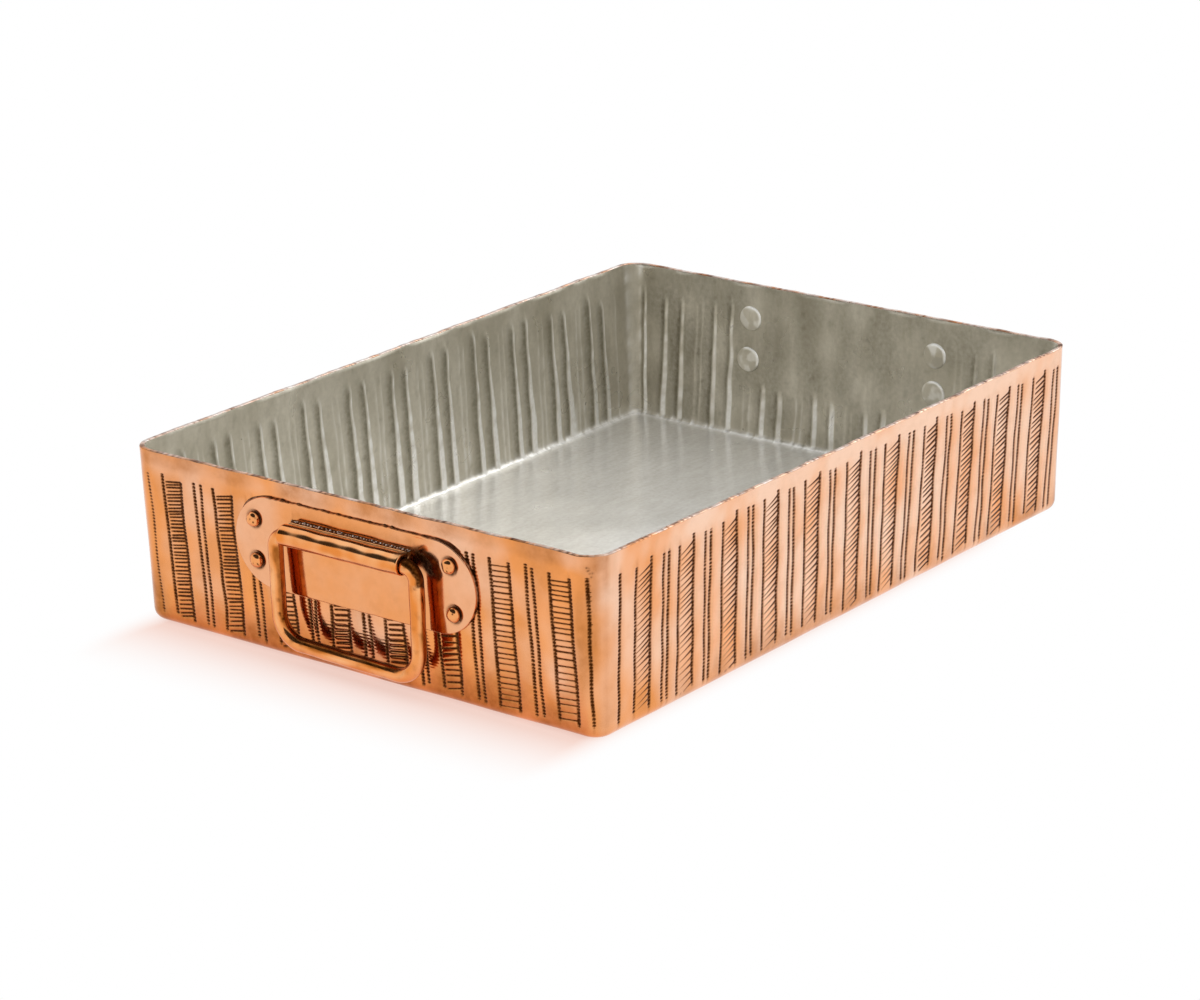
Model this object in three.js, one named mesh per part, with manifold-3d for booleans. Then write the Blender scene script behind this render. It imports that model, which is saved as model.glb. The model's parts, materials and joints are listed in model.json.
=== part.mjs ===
// A rectangular copper roasting pan, tinned inside, with a drop handle on each short end.
// Millimetres, +Z up. The origin is the middle of the underside, X runs along the length
// and the near handle is on the -X end.
import * as THREE from "three";
import { mergeVertices } from "three/addons/utils/BufferGeometryUtils.js";
import Module from "manifold-3d";

// Pan, outside sizes over the rim
const PAN_LENGTH = 350;
const PAN_WIDTH = 250;
const PAN_HEIGHT = 78;
const WALL_DRAFT = 2.5; // how far each wall comes in between rim and base
const CORNER_RADIUS = 11.5; // upright corners, outside, at the rim
const BASE_RADIUS = 5; // bend between wall and floor, outside
const COPPER = 1.5; // sheet thickness
const TIN = 0.4; // lining thickness

// Backplate, a strip with round ends
const PLATE_DROP = 7.6; // rim to the plate's top edge
const PLATE_HEIGHT = 40;
const PLATE_THICKNESS = 1.5;

// Strap rolled round the handle's rod
const KNUCKLE_LENGTH = 64;
const KNUCKLE_DROP = 11.9; // plate's top edge to the rod's axis
const STRAP_THICKNESS = 1.5;
const FOOT_WIDTH = 6.4; // flat of the strap that is brazed to the plate

// Handle, a closed loop of round rod
const ROD_DIAMETER = 6.5;
const TOP_BEND = 5.5; // bend radii are to the middle of the rod
const BOTTOM_BEND = 12;
const BEND_START = 0.5; // strap's end to where the rod starts to bend
const HANDLE_LIFT = 7.3; // table to the underside of the hanging handle

// Rivets
const RIVET_SHANK = 4.6;
const RIVET_RISE = 18; // between the upper and the lower rivets
const RIVET_SIDE_GAP = 7.5; // between the handle and the nearest rivet head
const RIVET_EDGE = 11.8; // plate's end to the rivet's middle
const DOME_DIAMETER = 7.5;
const DOME_HEIGHT = 2.5;
const FLAT_DIAMETER = 13;
const FLAT_HEIGHT = 1.5;

// Clearances
const SEAT_GAP = 0.3; // between pieces that sit on each other, and round shanks and rods
const LINING_GAP = 0.2; // between the copper and its tin

// Facets
const CORNER_STEPS = 6;
const BEND_STEPS = 4;
const END_STEPS = 10;
const ROD_SIDES = 14;
const ROD_BEND_STEPS = 6;
const ROUND_SIDES = 12;
const RIVET_SIDES = 12;
const DOME_STEPS = 4;
const SHARPEST = 0.2; // least radius of a bend that its wall has used up

// Sizes that follow from the ones above
const LEAN = Math.atan2(WALL_DRAFT, PAN_HEIGHT);
const BORE_RADIUS = ROD_DIAMETER / 2 + SEAT_GAP;
const STRAP_RADIUS = BORE_RADIUS + STRAP_THICKNESS;
const HANDLE_WIDTH = KNUCKLE_LENGTH + 2 * (BEND_START + TOP_BEND);
const RIVET_SPAN = HANDLE_WIDTH + ROD_DIAMETER + 2 * RIVET_SIDE_GAP + DOME_DIAMETER;
const PLATE_LENGTH = RIVET_SPAN + 2 * RIVET_EDGE;
const HOLE_RADIUS = RIVET_SHANK / 2 + SEAT_GAP;
const LINING_OUTSIDE = COPPER + LINING_GAP;
const LINING_INSIDE = LINING_OUTSIDE + TIN;

// Places along the hardware's own frame: out from the wall's face, and up from the plate's middle
const PLATE_INNER = SEAT_GAP;
const PLATE_OUTER = PLATE_INNER + PLATE_THICKNESS;
const KNUCKLE_FOOT = PLATE_OUTER + SEAT_GAP;
const AXIS_OUT = KNUCKLE_FOOT + STRAP_RADIUS;
const AXIS_UP = PLATE_HEIGHT / 2 - KNUCKLE_DROP;
const DOME_SEAT = PLATE_OUTER + SEAT_GAP;
const FLAT_SEAT = -(LINING_INSIDE + SEAT_GAP);
const DRILL_LENGTH = 4 * (PLATE_OUTER + LINING_INSIDE);
const PLATE_MIDDLE_Z = PAN_HEIGHT - (PLATE_DROP + PLATE_HEIGHT / 2) * Math.cos(LEAN);

const wasm = await Module();
wasm.setup();

// Materials
const copper = new THREE.MeshStandardMaterial({ color: 0xd98f63, roughness: 0.28, metalness: 1 });
const rodCopper = new THREE.MeshStandardMaterial({ color: 0xd4854f, roughness: 0.22, metalness: 1 });
const tin = new THREE.MeshStandardMaterial({ color: 0xaeaca4, roughness: 0.42, metalness: 1 });

// A named piece of the assembly
function piece(name, geometry, material) {
  const mesh = new THREE.Mesh(geometry, material);
  mesh.name = name;
  return mesh;
}

// Booleans
function toSolid(geometry) {
  const bare = geometry.index ? geometry.toNonIndexed() : geometry.clone();
  bare.deleteAttribute("normal");
  bare.deleteAttribute("uv");
  const merged = mergeVertices(bare, 1e-4);
  const vertProperties = new Float32Array(merged.attributes.position.array);
  const triVerts = new Uint32Array(merged.index.array);
  return new wasm.Manifold(new wasm.Mesh({ numProp: 3, vertProperties, triVerts }));
}

function toGeometry(solid) {
  const mesh = solid.getMesh();
  const geometry = new THREE.BufferGeometry();
  const positions = new Float32Array(mesh.vertProperties);
  geometry.setAttribute("position", new THREE.BufferAttribute(positions, 3));
  geometry.setIndex(new THREE.BufferAttribute(new Uint32Array(mesh.triVerts), 1));
  geometry.computeVertexNormals();
  return geometry;
}

function cut(geometry, tools) {
  let solid = toSolid(geometry);
  for (const tool of tools) {
    solid = solid.subtract(toSolid(tool));
  }
  return toGeometry(solid);
}

// Closed surface from a grid of points: rows of the same length, each row a closed ring.
// With closed true the last row joins the first, and otherwise both ends get a flat cap.
function ringSurface(rows, closed) {
  const count = rows[0].length;
  const points = rows.flat();
  const index = [];
  const last = closed ? rows.length : rows.length - 1;
  for (let i = 0; i < last; i += 1) {
    const here = i * count;
    const next = ((i + 1) % rows.length) * count;
    for (let j = 0; j < count; j += 1) {
      const k = (j + 1) % count;
      index.push(here + j, here + k, next + k);
      index.push(here + j, next + k, next + j);
    }
  }
  if (!closed) {
    for (const [row, flip] of [[0, true], [rows.length - 1, false]]) {
      const middle = points.length;
      const start = row * count;
      const sum = new THREE.Vector3();
      rows[row].forEach((point) => sum.add(point));
      points.push(sum.divideScalar(count));
      for (let j = 0; j < count; j += 1) {
        const k = (j + 1) % count;
        const [a, b] = flip ? [start + k, start + j] : [start + j, start + k];
        index.push(middle, a, b);
      }
    }
  }
  const geometry = new THREE.BufferGeometry().setFromPoints(points);
  geometry.setIndex(index);
  geometry.computeVertexNormals();
  return geometry;
}

// Pan shell

// Level ring of the pan at a height, so far in from the rim's outline
function panRing(inset, z) {
  const radius = Math.max(CORNER_RADIUS - inset, SHARPEST);
  const x = PAN_LENGTH / 2 - inset - radius;
  const y = PAN_WIDTH / 2 - inset - radius;
  const ring = [];
  [[x, y], [-x, y], [-x, -y], [x, -y]].forEach(([cx, cy], quarter) => {
    for (let i = 0; i <= CORNER_STEPS; i += 1) {
      const angle = (quarter + i / CORNER_STEPS) * Math.PI / 2;
      ring.push(new THREE.Vector3(cx + radius * Math.cos(angle), cy + radius * Math.sin(angle), z));
    }
  });
  return ring;
}

// Rings of the surface that lies a depth inside the outer face, from the floor up to the rim
function shellRings(depth) {
  const bend = Math.max(BASE_RADIUS - depth, SHARPEST);
  const centreZ = depth + bend;
  const rimInset = depth / Math.cos(LEAN);
  const wallInset = rimInset + WALL_DRAFT * (PAN_HEIGHT - centreZ) / PAN_HEIGHT;
  const centreInset = wallInset + bend / Math.cos(LEAN);
  const rings = [];
  for (let i = 0; i <= BEND_STEPS; i += 1) {
    const angle = Math.PI / 2 + (LEAN - Math.PI / 2) * i / BEND_STEPS;
    rings.push(panRing(centreInset - bend * Math.cos(angle), centreZ - bend * Math.sin(angle)));
  }
  rings.push(panRing(rimInset, PAN_HEIGHT));
  return rings;
}

// Open-topped shell between two depths
function shell(outerDepth, innerDepth) {
  const rings = [...shellRings(outerDepth), ...shellRings(innerDepth).reverse()];
  return ringSurface(rings, false);
}

// Hardware frame

// The wall's outer face at the plate's middle on the +X end: X points out, Z up along the wall.
const hardwarePlace = new THREE.Vector3(
  PAN_LENGTH / 2 - WALL_DRAFT * (PAN_HEIGHT - PLATE_MIDDLE_Z) / PAN_HEIGHT,
  0,
  PLATE_MIDDLE_Z,
);
const hardwareTilt = new THREE.Matrix4().makeRotationY(LEAN).setPosition(hardwarePlace);
const axisPlace = new THREE.Vector3(AXIS_OUT, 0, AXIS_UP).applyMatrix4(hardwareTilt);
const ENDS = [["near", Math.PI], ["far", 0]];
const RIVET_PLACES = [
  [RIVET_SPAN / 2, RIVET_RISE / 2],
  [RIVET_SPAN / 2, -RIVET_RISE / 2],
  [-RIVET_SPAN / 2, RIVET_RISE / 2],
  [-RIVET_SPAN / 2, -RIVET_RISE / 2],
];

// Cutter for one rivet hole, in the hardware's frame
function rivetDrill([y, z]) {
  const drill = new THREE.CylinderGeometry(HOLE_RADIUS, HOLE_RADIUS, DRILL_LENGTH, RIVET_SIDES);
  drill.rotateZ(Math.PI / 2);
  drill.translate(0, y, z);
  return drill;
}

// Cutters for all the holes through the wall and its lining, at both ends
function wallDrills() {
  return ENDS.flatMap(([, turn]) =>
    RIVET_PLACES.map((place) => rivetDrill(place).applyMatrix4(hardwareTilt).rotateZ(turn)),
  );
}

// Flat shape drawn in Y and Z, with its thickness along X
function standUp(geometry) {
  geometry.rotateX(Math.PI / 2);
  geometry.rotateZ(Math.PI / 2);
  return geometry;
}

function backplate() {
  const radius = PLATE_HEIGHT / 2;
  const end = PLATE_LENGTH / 2 - radius;
  const shape = new THREE.Shape();
  shape.absarc(end, 0, radius, -Math.PI / 2, Math.PI / 2, false);
  shape.absarc(-end, 0, radius, Math.PI / 2, 3 * Math.PI / 2, false);
  const plate = new THREE.ExtrudeGeometry(shape, {
    depth: PLATE_THICKNESS,
    bevelEnabled: false,
    curveSegments: END_STEPS,
  });
  standUp(plate);
  plate.translate(PLATE_INNER, 0, 0);
  return cut(plate, RIVET_PLACES.map(rivetDrill));
}

// Strap closed round the rod, with its foot flat towards the plate. The section is drawn with
// x along the pan's outward X and y up.
function knuckle() {
  const foot = FOOT_WIDTH / 2;
  const footAngle = Math.asin(foot / STRAP_RADIUS);
  const section = new THREE.Shape();
  section.moveTo(-STRAP_RADIUS, -foot);
  section.absarc(0, 0, STRAP_RADIUS, footAngle - Math.PI, Math.PI - footAngle, false);
  section.lineTo(-STRAP_RADIUS, foot);
  section.closePath();
  const bore = new THREE.Path();
  bore.absarc(0, 0, BORE_RADIUS, 0, 2 * Math.PI, true);
  section.holes.push(bore);
  const strap = new THREE.ExtrudeGeometry(section, {
    depth: KNUCKLE_LENGTH,
    bevelEnabled: false,
    curveSegments: ROUND_SIDES,
  });
  strap.translate(0, 0, -KNUCKLE_LENGTH / 2);
  strap.rotateX(Math.PI / 2);
  strap.translate(AXIS_OUT, 0, AXIS_UP);
  return strap;
}

// Loop of rod in the Y and Z plane, with the middle of its top bar at the origin
function handle() {
  const height = axisPlace.z - HANDLE_LIFT - ROD_DIAMETER / 2;
  const top = HANDLE_WIDTH / 2 - TOP_BEND;
  const bottom = HANDLE_WIDTH / 2 - BOTTOM_BEND;
  const bends = [
    [top, -TOP_BEND, TOP_BEND, 0],
    [-top, -TOP_BEND, TOP_BEND, 1],
    [-bottom, BOTTOM_BEND - height, BOTTOM_BEND, 2],
    [bottom, BOTTOM_BEND - height, BOTTOM_BEND, 3],
  ];
  const rows = [];
  for (const [y, z, radius, quarter] of bends) {
    for (let i = 0; i <= ROD_BEND_STEPS; i += 1) {
      const angle = (quarter + i / ROD_BEND_STEPS) * Math.PI / 2;
      const out = new THREE.Vector3(0, Math.cos(angle), Math.sin(angle));
      const middle = new THREE.Vector3(0, y, z).addScaledVector(out, radius);
      const ring = [];
      for (let j = 0; j < ROD_SIDES; j += 1) {
        const around = 2 * Math.PI * j / ROD_SIDES;
        const point = middle.clone().addScaledVector(out, ROD_DIAMETER / 2 * Math.cos(around));
        point.x -= ROD_DIAMETER / 2 * Math.sin(around);
        ring.push(point);
      }
      rows.push(ring);
    }
  }
  return ringSurface(rows, true);
}

// Rivet along X: wide flat head inside the pan, shank, small domed head outside
function rivet() {
  const profile = [
    new THREE.Vector2(0, FLAT_SEAT - FLAT_HEIGHT),
    new THREE.Vector2(FLAT_DIAMETER / 2 - FLAT_HEIGHT / 2, FLAT_SEAT - FLAT_HEIGHT),
    new THREE.Vector2(FLAT_DIAMETER / 2, FLAT_SEAT - FLAT_HEIGHT / 2),
    new THREE.Vector2(FLAT_DIAMETER / 2, FLAT_SEAT),
    new THREE.Vector2(RIVET_SHANK / 2, FLAT_SEAT),
    new THREE.Vector2(RIVET_SHANK / 2, DOME_SEAT),
  ];
  for (let i = 0; i < DOME_STEPS; i += 1) {
    const angle = i / DOME_STEPS * Math.PI / 2;
    const radius = DOME_DIAMETER / 2 * Math.cos(angle);
    profile.push(new THREE.Vector2(radius, DOME_SEAT + DOME_HEIGHT * Math.sin(angle)));
  }
  profile.push(new THREE.Vector2(0, DOME_SEAT + DOME_HEIGHT));
  const turned = new THREE.LatheGeometry(profile, RIVET_SIDES);
  turned.rotateZ(-Math.PI / 2);
  return turned;
}

// Assembly
const pan = new THREE.Group();
const drills = wallDrills();
pan.add(piece("pan_body", cut(shell(0, COPPER), drills), copper));
pan.add(piece("tin_lining", cut(shell(LINING_OUTSIDE, LINING_INSIDE), drills), tin));

for (const [end, turn] of ENDS) {
  const side = new THREE.Group();
  side.rotation.z = turn;

  const fixed = new THREE.Group();
  fixed.position.copy(hardwarePlace);
  fixed.rotation.y = LEAN;
  fixed.add(piece(`backplate_${end}`, backplate(), copper));
  fixed.add(piece(`knuckle_${end}`, knuckle(), rodCopper));
  RIVET_PLACES.forEach(([y, z], i) => {
    const fastener = piece(`rivet_${end}_${i + 1}`, rivet(), copper);
    fastener.position.set(0, y, z);
    fixed.add(fastener);
  });
  side.add(fixed);

  const swinging = piece(`handle_${end}`, handle(), rodCopper);
  swinging.position.copy(axisPlace);
  side.add(swinging);
  pan.add(side);
}

export default pan;
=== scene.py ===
import json
import math

import bpy
import numpy as np
from mathutils import Matrix, Vector

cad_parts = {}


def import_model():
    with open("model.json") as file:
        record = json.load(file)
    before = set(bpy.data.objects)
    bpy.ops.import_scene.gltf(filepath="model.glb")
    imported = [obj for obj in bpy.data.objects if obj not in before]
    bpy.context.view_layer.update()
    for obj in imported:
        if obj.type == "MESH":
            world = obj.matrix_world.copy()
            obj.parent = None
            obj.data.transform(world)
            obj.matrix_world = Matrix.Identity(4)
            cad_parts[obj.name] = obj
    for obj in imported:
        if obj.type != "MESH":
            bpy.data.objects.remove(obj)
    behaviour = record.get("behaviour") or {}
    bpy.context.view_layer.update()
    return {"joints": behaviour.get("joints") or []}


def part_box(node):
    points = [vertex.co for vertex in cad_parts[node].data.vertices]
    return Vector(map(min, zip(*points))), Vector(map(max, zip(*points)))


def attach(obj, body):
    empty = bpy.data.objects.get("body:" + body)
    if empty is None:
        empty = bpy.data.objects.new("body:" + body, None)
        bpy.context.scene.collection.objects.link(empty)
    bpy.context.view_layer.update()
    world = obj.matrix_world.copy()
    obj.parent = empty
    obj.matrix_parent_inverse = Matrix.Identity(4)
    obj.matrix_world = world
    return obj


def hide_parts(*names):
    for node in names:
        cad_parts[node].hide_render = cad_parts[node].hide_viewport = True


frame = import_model()

MM = 0.001

# Pan, in millimetres
pan_low, pan_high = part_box("pan_body")
LENGTH, WIDTH, HEIGHT = (pan_high - pan_low) / MM
DRAFT = 2.5  # how far each wall comes in between rim and base
CORNER = 11.5  # upright corners, outside, at the rim
BASE_BEND = 5  # between wall and floor, outside
COPPER = 1.5  # sheet thickness
TIN_BACK = 1.45  # from the copper's outside to the tin's hidden side
TIN_FACE = 2.1  # from the copper's outside to the tin's inside
RIM_EDGE = 0.5  # how far the rim's edges are rounded
RIM_OVERLAP = 0.05  # how far the copper's rim reaches in over the tin's face
RIM_DROPS = (1.2, 0.8, 0.5)  # the outside's last rows below the rim
TIN_LOW = 0.35  # how far the tin's rim lies below the copper's
HIDDEN_DROP = 40  # where a hidden side has its one row between rim and bend
HIDDEN_BEND_ROWS = 7
RING = 1.0  # width of the small faces round each whole flat face
FLOOR_EDGE = 0.06  # share of the way to the middle that is the edge of the tin's floor
LEAN = math.atan2(DRAFT, HEIGHT)

# Handle fittings, in millimetres: out from the wall, to the right along it and up it
PLATE_DROP = 7.6
PLATE_LENGTH = 128.6
PLATE_HEIGHT = 40
PLATE_OUTER = 1.8
PLATE_EDGE = 0.45  # how far the plate's edge is rounded
PLATE_FOOT = ((0.0, 1), (0.35, 0.9), (0.6, 0.4), (0.8, 0))  # rows of its side, and their squeeze
PLATE_STEP = 0.7  # from point to point of its outline
KNUCKLE_LENGTH = 64
STRAP_RADIUS = 5.05
STRAP_EDGE = 0.5  # how far the strap's ends are rounded
STRAP_BACK = 1.7
STRAP_FOOT = 3.8
STRAP_LIP = ((4.3, -0.95), (4.05, -0.6), (3.8, -0.3), (3.5, -0.28), (3.25, -0.5))  # its groove and lip
BRAZE_OUT = 3.2
PLATE_THINNED = 0.26  # share by which the plate is beaten thinner above the strap
STRAP_THINNED = 0.85  # how much thinner the strap is beaten below than on top
BORE_RADIUS = 3.55
AXIS_OUT = 7.15
AXIS_UP = 8.1
STRAP_TOP = AXIS_UP + STRAP_RADIUS
BRAZE_POINTS = 7
ROD_RADIUS = 3.25
LOOP_WIDTH = 75.5
LOOP_SLIDE = 0.85  # how far the loop lies to the right in its strap
LOOP_SKEW = (0.9, 1.7)  # how far the loop's lower left bend is bent in and up
HANDLE_LIFT = 7.3  # of the hanging loop above the ground
TOP_BEND = 5.5
BOTTOM_BEND = 12
BROWN_RIGHT = (0.79, 0.61)  # the way the side of the upright bars with painted brown shade looks, right and to the pan
BROWN_UP = (0.92, 0.4)  # the same for the level bars, up and to the pan
RIVET_SPAN = 105
RIVET_RISE = 18
RIVET_SET = ((-1.0, 1.4), (0.2, -1.0), (-0.6, 0.5), (-0.4, 0.4))  # how far each is off its place
DOME_RADIUS = 3.3
DOME_HEIGHT = 2.5
DOME_SEAT = 2.1
DOME_SINK = 0.35  # how far the dome reaches past its seat into the plate
FLAT_RADIUS = 6.1
FLAT_SEAT = -2.4
FLAT_SINK = 0.3  # how far the inside head reaches past its seat to the tin
FLAT_HEIGHT = 1.1
FLAT_EDGE = 0.45  # how far its edge is rounded
FLAT_RINGS = (4.6, 3.4, 2.2, 1.0)
SHANK_RADIUS = 2.3
QUARTER = np.radians([0, 30, 60, 90])  # steps round a small edge

# Chased stripes, in millimetres, places given to the right as seen from outside
LONG_PITCH = 29.1
END_PITCH = 29.6
LADDERS = {"front": 11, "far": 7, "back": 11, "near": 8}
SHIFTS = {"front": 0, "far": 8.3, "back": 2.5, "near": 3.1}  # how far right of the middle the ladders lie
END_FIRST_LINE = -113.3
END_LAST_LINES = {"far": 115.0, "near": 119.6}
END_TOP = 9.2  # where the short ends' lines start below the rim
END_LEAN = 3.0  # how far they run to the right on their way down
LAST_UPRIGHT = 2.2  # how much less the last one does
LONG_TOP = 6.8  # where the long sides' lines start, at the least
LONG_LEAN = -0.4  # how far those on the left run to the right
RIGHT_LEAN = 3.6  # how much further left those on the right run
LINE_WANDER = 0.32
LADDER_WIDTH = 9.8
LONG_RUNGS = 2.4  # from rung to rung
END_RUNGS = (1.55, 0.14)  # the same on the short ends' first ladders, and how much more on each next one
FIRST_RUNG = 3.2  # from the lines' start
DOUBLE_WIDTH = 3.4
STRIPE_END = 74.3
LINE_DEPTH = 0.5
LINE_WIDTH = 0.74
BEAD_PITCH = 1.45
LONG_BEADING = 0.38  # how deep the beads are in the lines of the long sides
END_BEADING = 0.32  # the same on the short ends
DOUBLE_BEADING = 0.1  # how much more in the double lines
RUNG_DEPTH = 0.46
BRISTLES_END = 46  # down to where the last line is ragged
BRISTLE_PITCH = 0.9
PILLOW = 0.2  # how far the plain strips swell between the stripes
ROW_STEP = 0.3
LINE_OFFSETS = (-1.15, -0.55, 0, 0.55, 1.15)
RAGGED_OFFSETS = (*LINE_OFFSETS, 1.65, 2.0, 2.4)
LADDER_STEP = 0.75
PLAIN_STEP = 2.2
RIDGE_OFFSETS = (-4.2, -3.5, -2.9, -2.4, -1.9, -1.4, -0.9, -0.4, 0.1, 0.7, 1.5, 2.5, 3.7, 5.2)
FAINT_OFFSETS = (-1.0, -0.5, 0, 0.5, 1.2)

# Each side's direction to the right as seen from outside, and its outward direction
SIDES = {
    "front": ((1, 0), (0, -1)),
    "far": ((0, 1), (1, 0)),
    "back": ((-1, 0), (0, 1)),
    "near": ((0, -1), (-1, 0)),
}
LONG_SIDES = ("front", "back")

# Where the random numbers of each use start
SEED = {"stripes": 11, "ribs": 50, "brown": 71, "warm": 72, "flecks": 73, "waves": 74, "tin": 90,
        "floor": 97, "plate": 130, "strap": 150, "rod": 170, "rivet": 190}


# Small maths
def smooth(t):
    """Soft step from 0 to 1."""
    t = unit(t)
    return t * t * (3 - 2 * t)


def rise(value, start, width):
    """Soft step from 0 at start to 1 at width beyond it."""
    return smooth((value - start) / width)


def fall(value, end, width):
    """Soft step from 1 at width before end to 0 at end."""
    return smooth((end - value) / width)


def bell(t):
    """Soft hump of height 1 and half width 1."""
    return np.exp(-np.square(t))


def unit(t):
    """Values kept between 0 and 1."""
    return np.clip(t, 0, 1)


def randoms(use, number=0):
    """Random numbers of one use, the same in every run."""
    return np.random.default_rng(SEED[use] + number)


class Wave:
    """Smooth random curve of about unit height, whose swings are about length long."""

    def __init__(self, rng, length, count=4):
        self.rates = 2 * np.pi / (length * rng.uniform(0.6, 1.6, count))
        self.phases = rng.uniform(0, 2 * np.pi, count)

    def __call__(self, at):
        return 1.4 * np.sin(np.multiply.outer(at, self.rates) + self.phases).mean(-1)


def waves(rng, at, *parts):
    """Sum of random curves, each given by its height and by the length of its swings."""
    return sum(height * Wave(rng, length)(at) for height, length in parts)


def swell(rng, points, length, count=10):
    """Smooth random height of about unit size over places in a plane or in space."""
    total = np.zeros(points.shape[:-1])
    for _ in range(count):
        way = rng.normal(size=points.shape[-1])
        way *= 2 * np.pi / (length * rng.uniform(0.6, 1.6) * np.linalg.norm(way))
        total += np.sin(points @ way + rng.uniform(0, 2 * np.pi))
    return 1.4 * total / math.sqrt(count)


def over(first, second):
    """Grid of places with first down the rows and second along the columns."""
    return np.stack(np.meshgrid(first, second, indexing="ij"), -1)


# Meshes
def make_piece(name, points, looped=False, inward=False, uv=None, **layers):
    """Mesh object from a grid of points in millimetres, with a value per point in each named layer. Whole
    faces close the grid's first and last rows unless it is looped. inward turns all faces round."""
    rows, columns = points.shape[:2]
    quads = grid_quads(rows, columns, looped)
    caps = () if looped else end_caps(rows, columns)
    if inward:
        quads = quads[:, ::-1]
        caps = [cap[::-1] for cap in caps]
    corners = np.concatenate([quads.ravel(), *caps]).astype(np.int32)
    sizes = np.concatenate([np.full(len(quads), 4), [len(cap) for cap in caps]]).astype(np.int32)
    mesh = bpy.data.meshes.new(name)
    mesh.vertices.add(rows * columns)
    mesh.vertices.foreach_set("co", (points * MM).astype(np.float32).ravel())
    mesh.loops.add(len(corners))
    mesh.loops.foreach_set("vertex_index", corners)
    mesh.polygons.add(len(sizes))
    mesh.polygons.foreach_set("loop_start", np.r_[0, np.cumsum(sizes)[:-1]].astype(np.int32))
    mesh.update(calc_edges=True)
    mesh.shade_smooth()
    for layer, values in layers.items():
        made = mesh.attributes.new(layer, "FLOAT", "POINT")
        made.data.foreach_set("value", np.asarray(values, np.float32).ravel())
    if uv is not None:
        made = mesh.uv_layers.new(name="OFBake")
        made.uv.foreach_set("vector", uv.astype(np.float32).ravel())
    return put(name, mesh)


def grid_quads(rows, columns, looped=False):
    """Corners of the faces of a grid that closes along its columns, and along its rows too if looped. With
    columns to the right and rows going up, the faces look at the viewer."""
    i, j = np.meshgrid(np.arange(rows if looped else rows - 1), np.arange(columns), indexing="ij")
    right = (j + 1) % columns
    above = (i + 1) % rows
    corners = (i * columns + j, i * columns + right, above * columns + right, above * columns + j)
    return np.stack(corners, -1).reshape(-1, 4)


def end_caps(rows, columns):
    """The whole faces that close a grid's first and last rows."""
    return np.arange(columns)[::-1], (rows - 1) * columns + np.arange(columns)


def grid_uv(left, right, base, level):
    """Map places of a grid's faces: columns from left to right, rows at each level above its base."""
    u = np.stack([left, right, right, left], -1)
    v = np.stack([level[:-1], level[:-1], level[1:], level[1:]], -1)
    v = v[:, None, :] + base[None, :, None]
    return np.stack([np.broadcast_to(u, v.shape), v], -1).reshape(-1, 2)


def put(name, data):
    """New object with this data, in the scene."""
    made = bpy.data.objects.new(name, data)
    bpy.context.scene.collection.objects.link(made)
    return made


# Shape of the pan
def wall_run(depth):
    """Length of the straight wall from the rim to the base bend, depth inside the copper's outside."""
    return (HEIGHT - depth - (BASE_BEND - depth) * (1 - math.sin(LEAN))) / math.cos(LEAN)


def bend_run(depth):
    """Length round the base bend."""
    return (BASE_BEND - depth) * (math.pi / 2 - LEAN)


def wall(depth, drop):
    """Inset, height and outward normal of the surface that lies depth inside the copper's outside, at each
    drop below the rim along it: down the leaning wall, round the base bend, then in over the floor."""
    drop = np.asarray(drop, float)
    radius = BASE_BEND - depth
    straight = wall_run(depth)
    bend = math.pi / 2 - LEAN
    down = np.minimum(drop, straight)
    angle = LEAN + np.clip((drop - straight) / radius, 0, bend)
    floor = np.maximum(drop - straight - radius * bend, 0)
    inset = depth / math.cos(LEAN) + down * math.sin(LEAN)
    inset += radius * (math.cos(LEAN) - np.cos(angle)) + floor
    z = HEIGHT - down * math.cos(LEAN) - radius * (np.sin(angle) - math.sin(LEAN))
    return inset, z, np.cos(angle), -np.sin(angle)


def plain_wall(depth, first):
    """Inset and height of the few rows that a hidden side needs, from first below the rim to the floor."""
    drop = np.r_[first, HIDDEN_DROP, wall_run(depth) + np.linspace(0, bend_run(depth), HIDDEN_BEND_ROWS)]
    return wall(depth, drop)[:2]


def rim_rows(depth_outer, depth_inner, top=0.0):
    """Inset and height of a rounded rim, from the outer face to the inner one."""
    first = depth_outer / math.cos(LEAN)
    last = depth_inner / math.cos(LEAN)
    edge = min(RIM_EDGE, (last - first) / 2.2)
    turn = np.radians([25, 55, 90])
    inset = np.concatenate([first + edge * (1 - np.cos(turn)), last - edge * (1 - np.cos(turn[::-1]))])
    z = HEIGHT + top - edge + edge * np.concatenate([np.sin(turn), np.sin(turn[::-1])])
    return inset, z


def side_runs(side):
    """Half the straight length of a side, how far its corners' middles lie from the pan's, and its half
    length with the halves of its corners."""
    ways = (LENGTH, WIDTH) if side in LONG_SIDES else (WIDTH, LENGTH)
    run, reach = (way / 2 - CORNER for way in ways)
    return run, reach, run + CORNER * math.pi / 4


def plan(side, along, radius, keep=1.0):
    """Place and outward direction in plan, at the corner radius that is left. keep draws the outline in."""
    right, out = (np.array(way, float) for way in SIDES[side])
    run, reach, _ = side_runs(side)
    straight = np.clip(along, -run, run)
    angle = (along - straight) / CORNER
    across = keep * straight + radius * np.sin(angle)
    away = keep * reach + radius * np.cos(angle)
    place = across[..., None] * right + away[..., None] * out
    normal = np.sin(angle)[..., None] * right + np.cos(angle)[..., None] * out
    return place, normal


def with_height(place, z):
    """Points from places in plan and their heights."""
    return np.concatenate([place, np.broadcast_to(z, place.shape[:-1])[..., None]], -1)


def relief_rows(side, along, profile, relief):
    """Points of one side's grid: rows of a profile, moved by relief along its normal."""
    inset, z, out, up = (row[:, None] for row in profile)
    place, normal = plan(side, along, CORNER - inset)
    return with_height(place + (relief * out)[..., None] * normal, z + relief * up)


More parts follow.
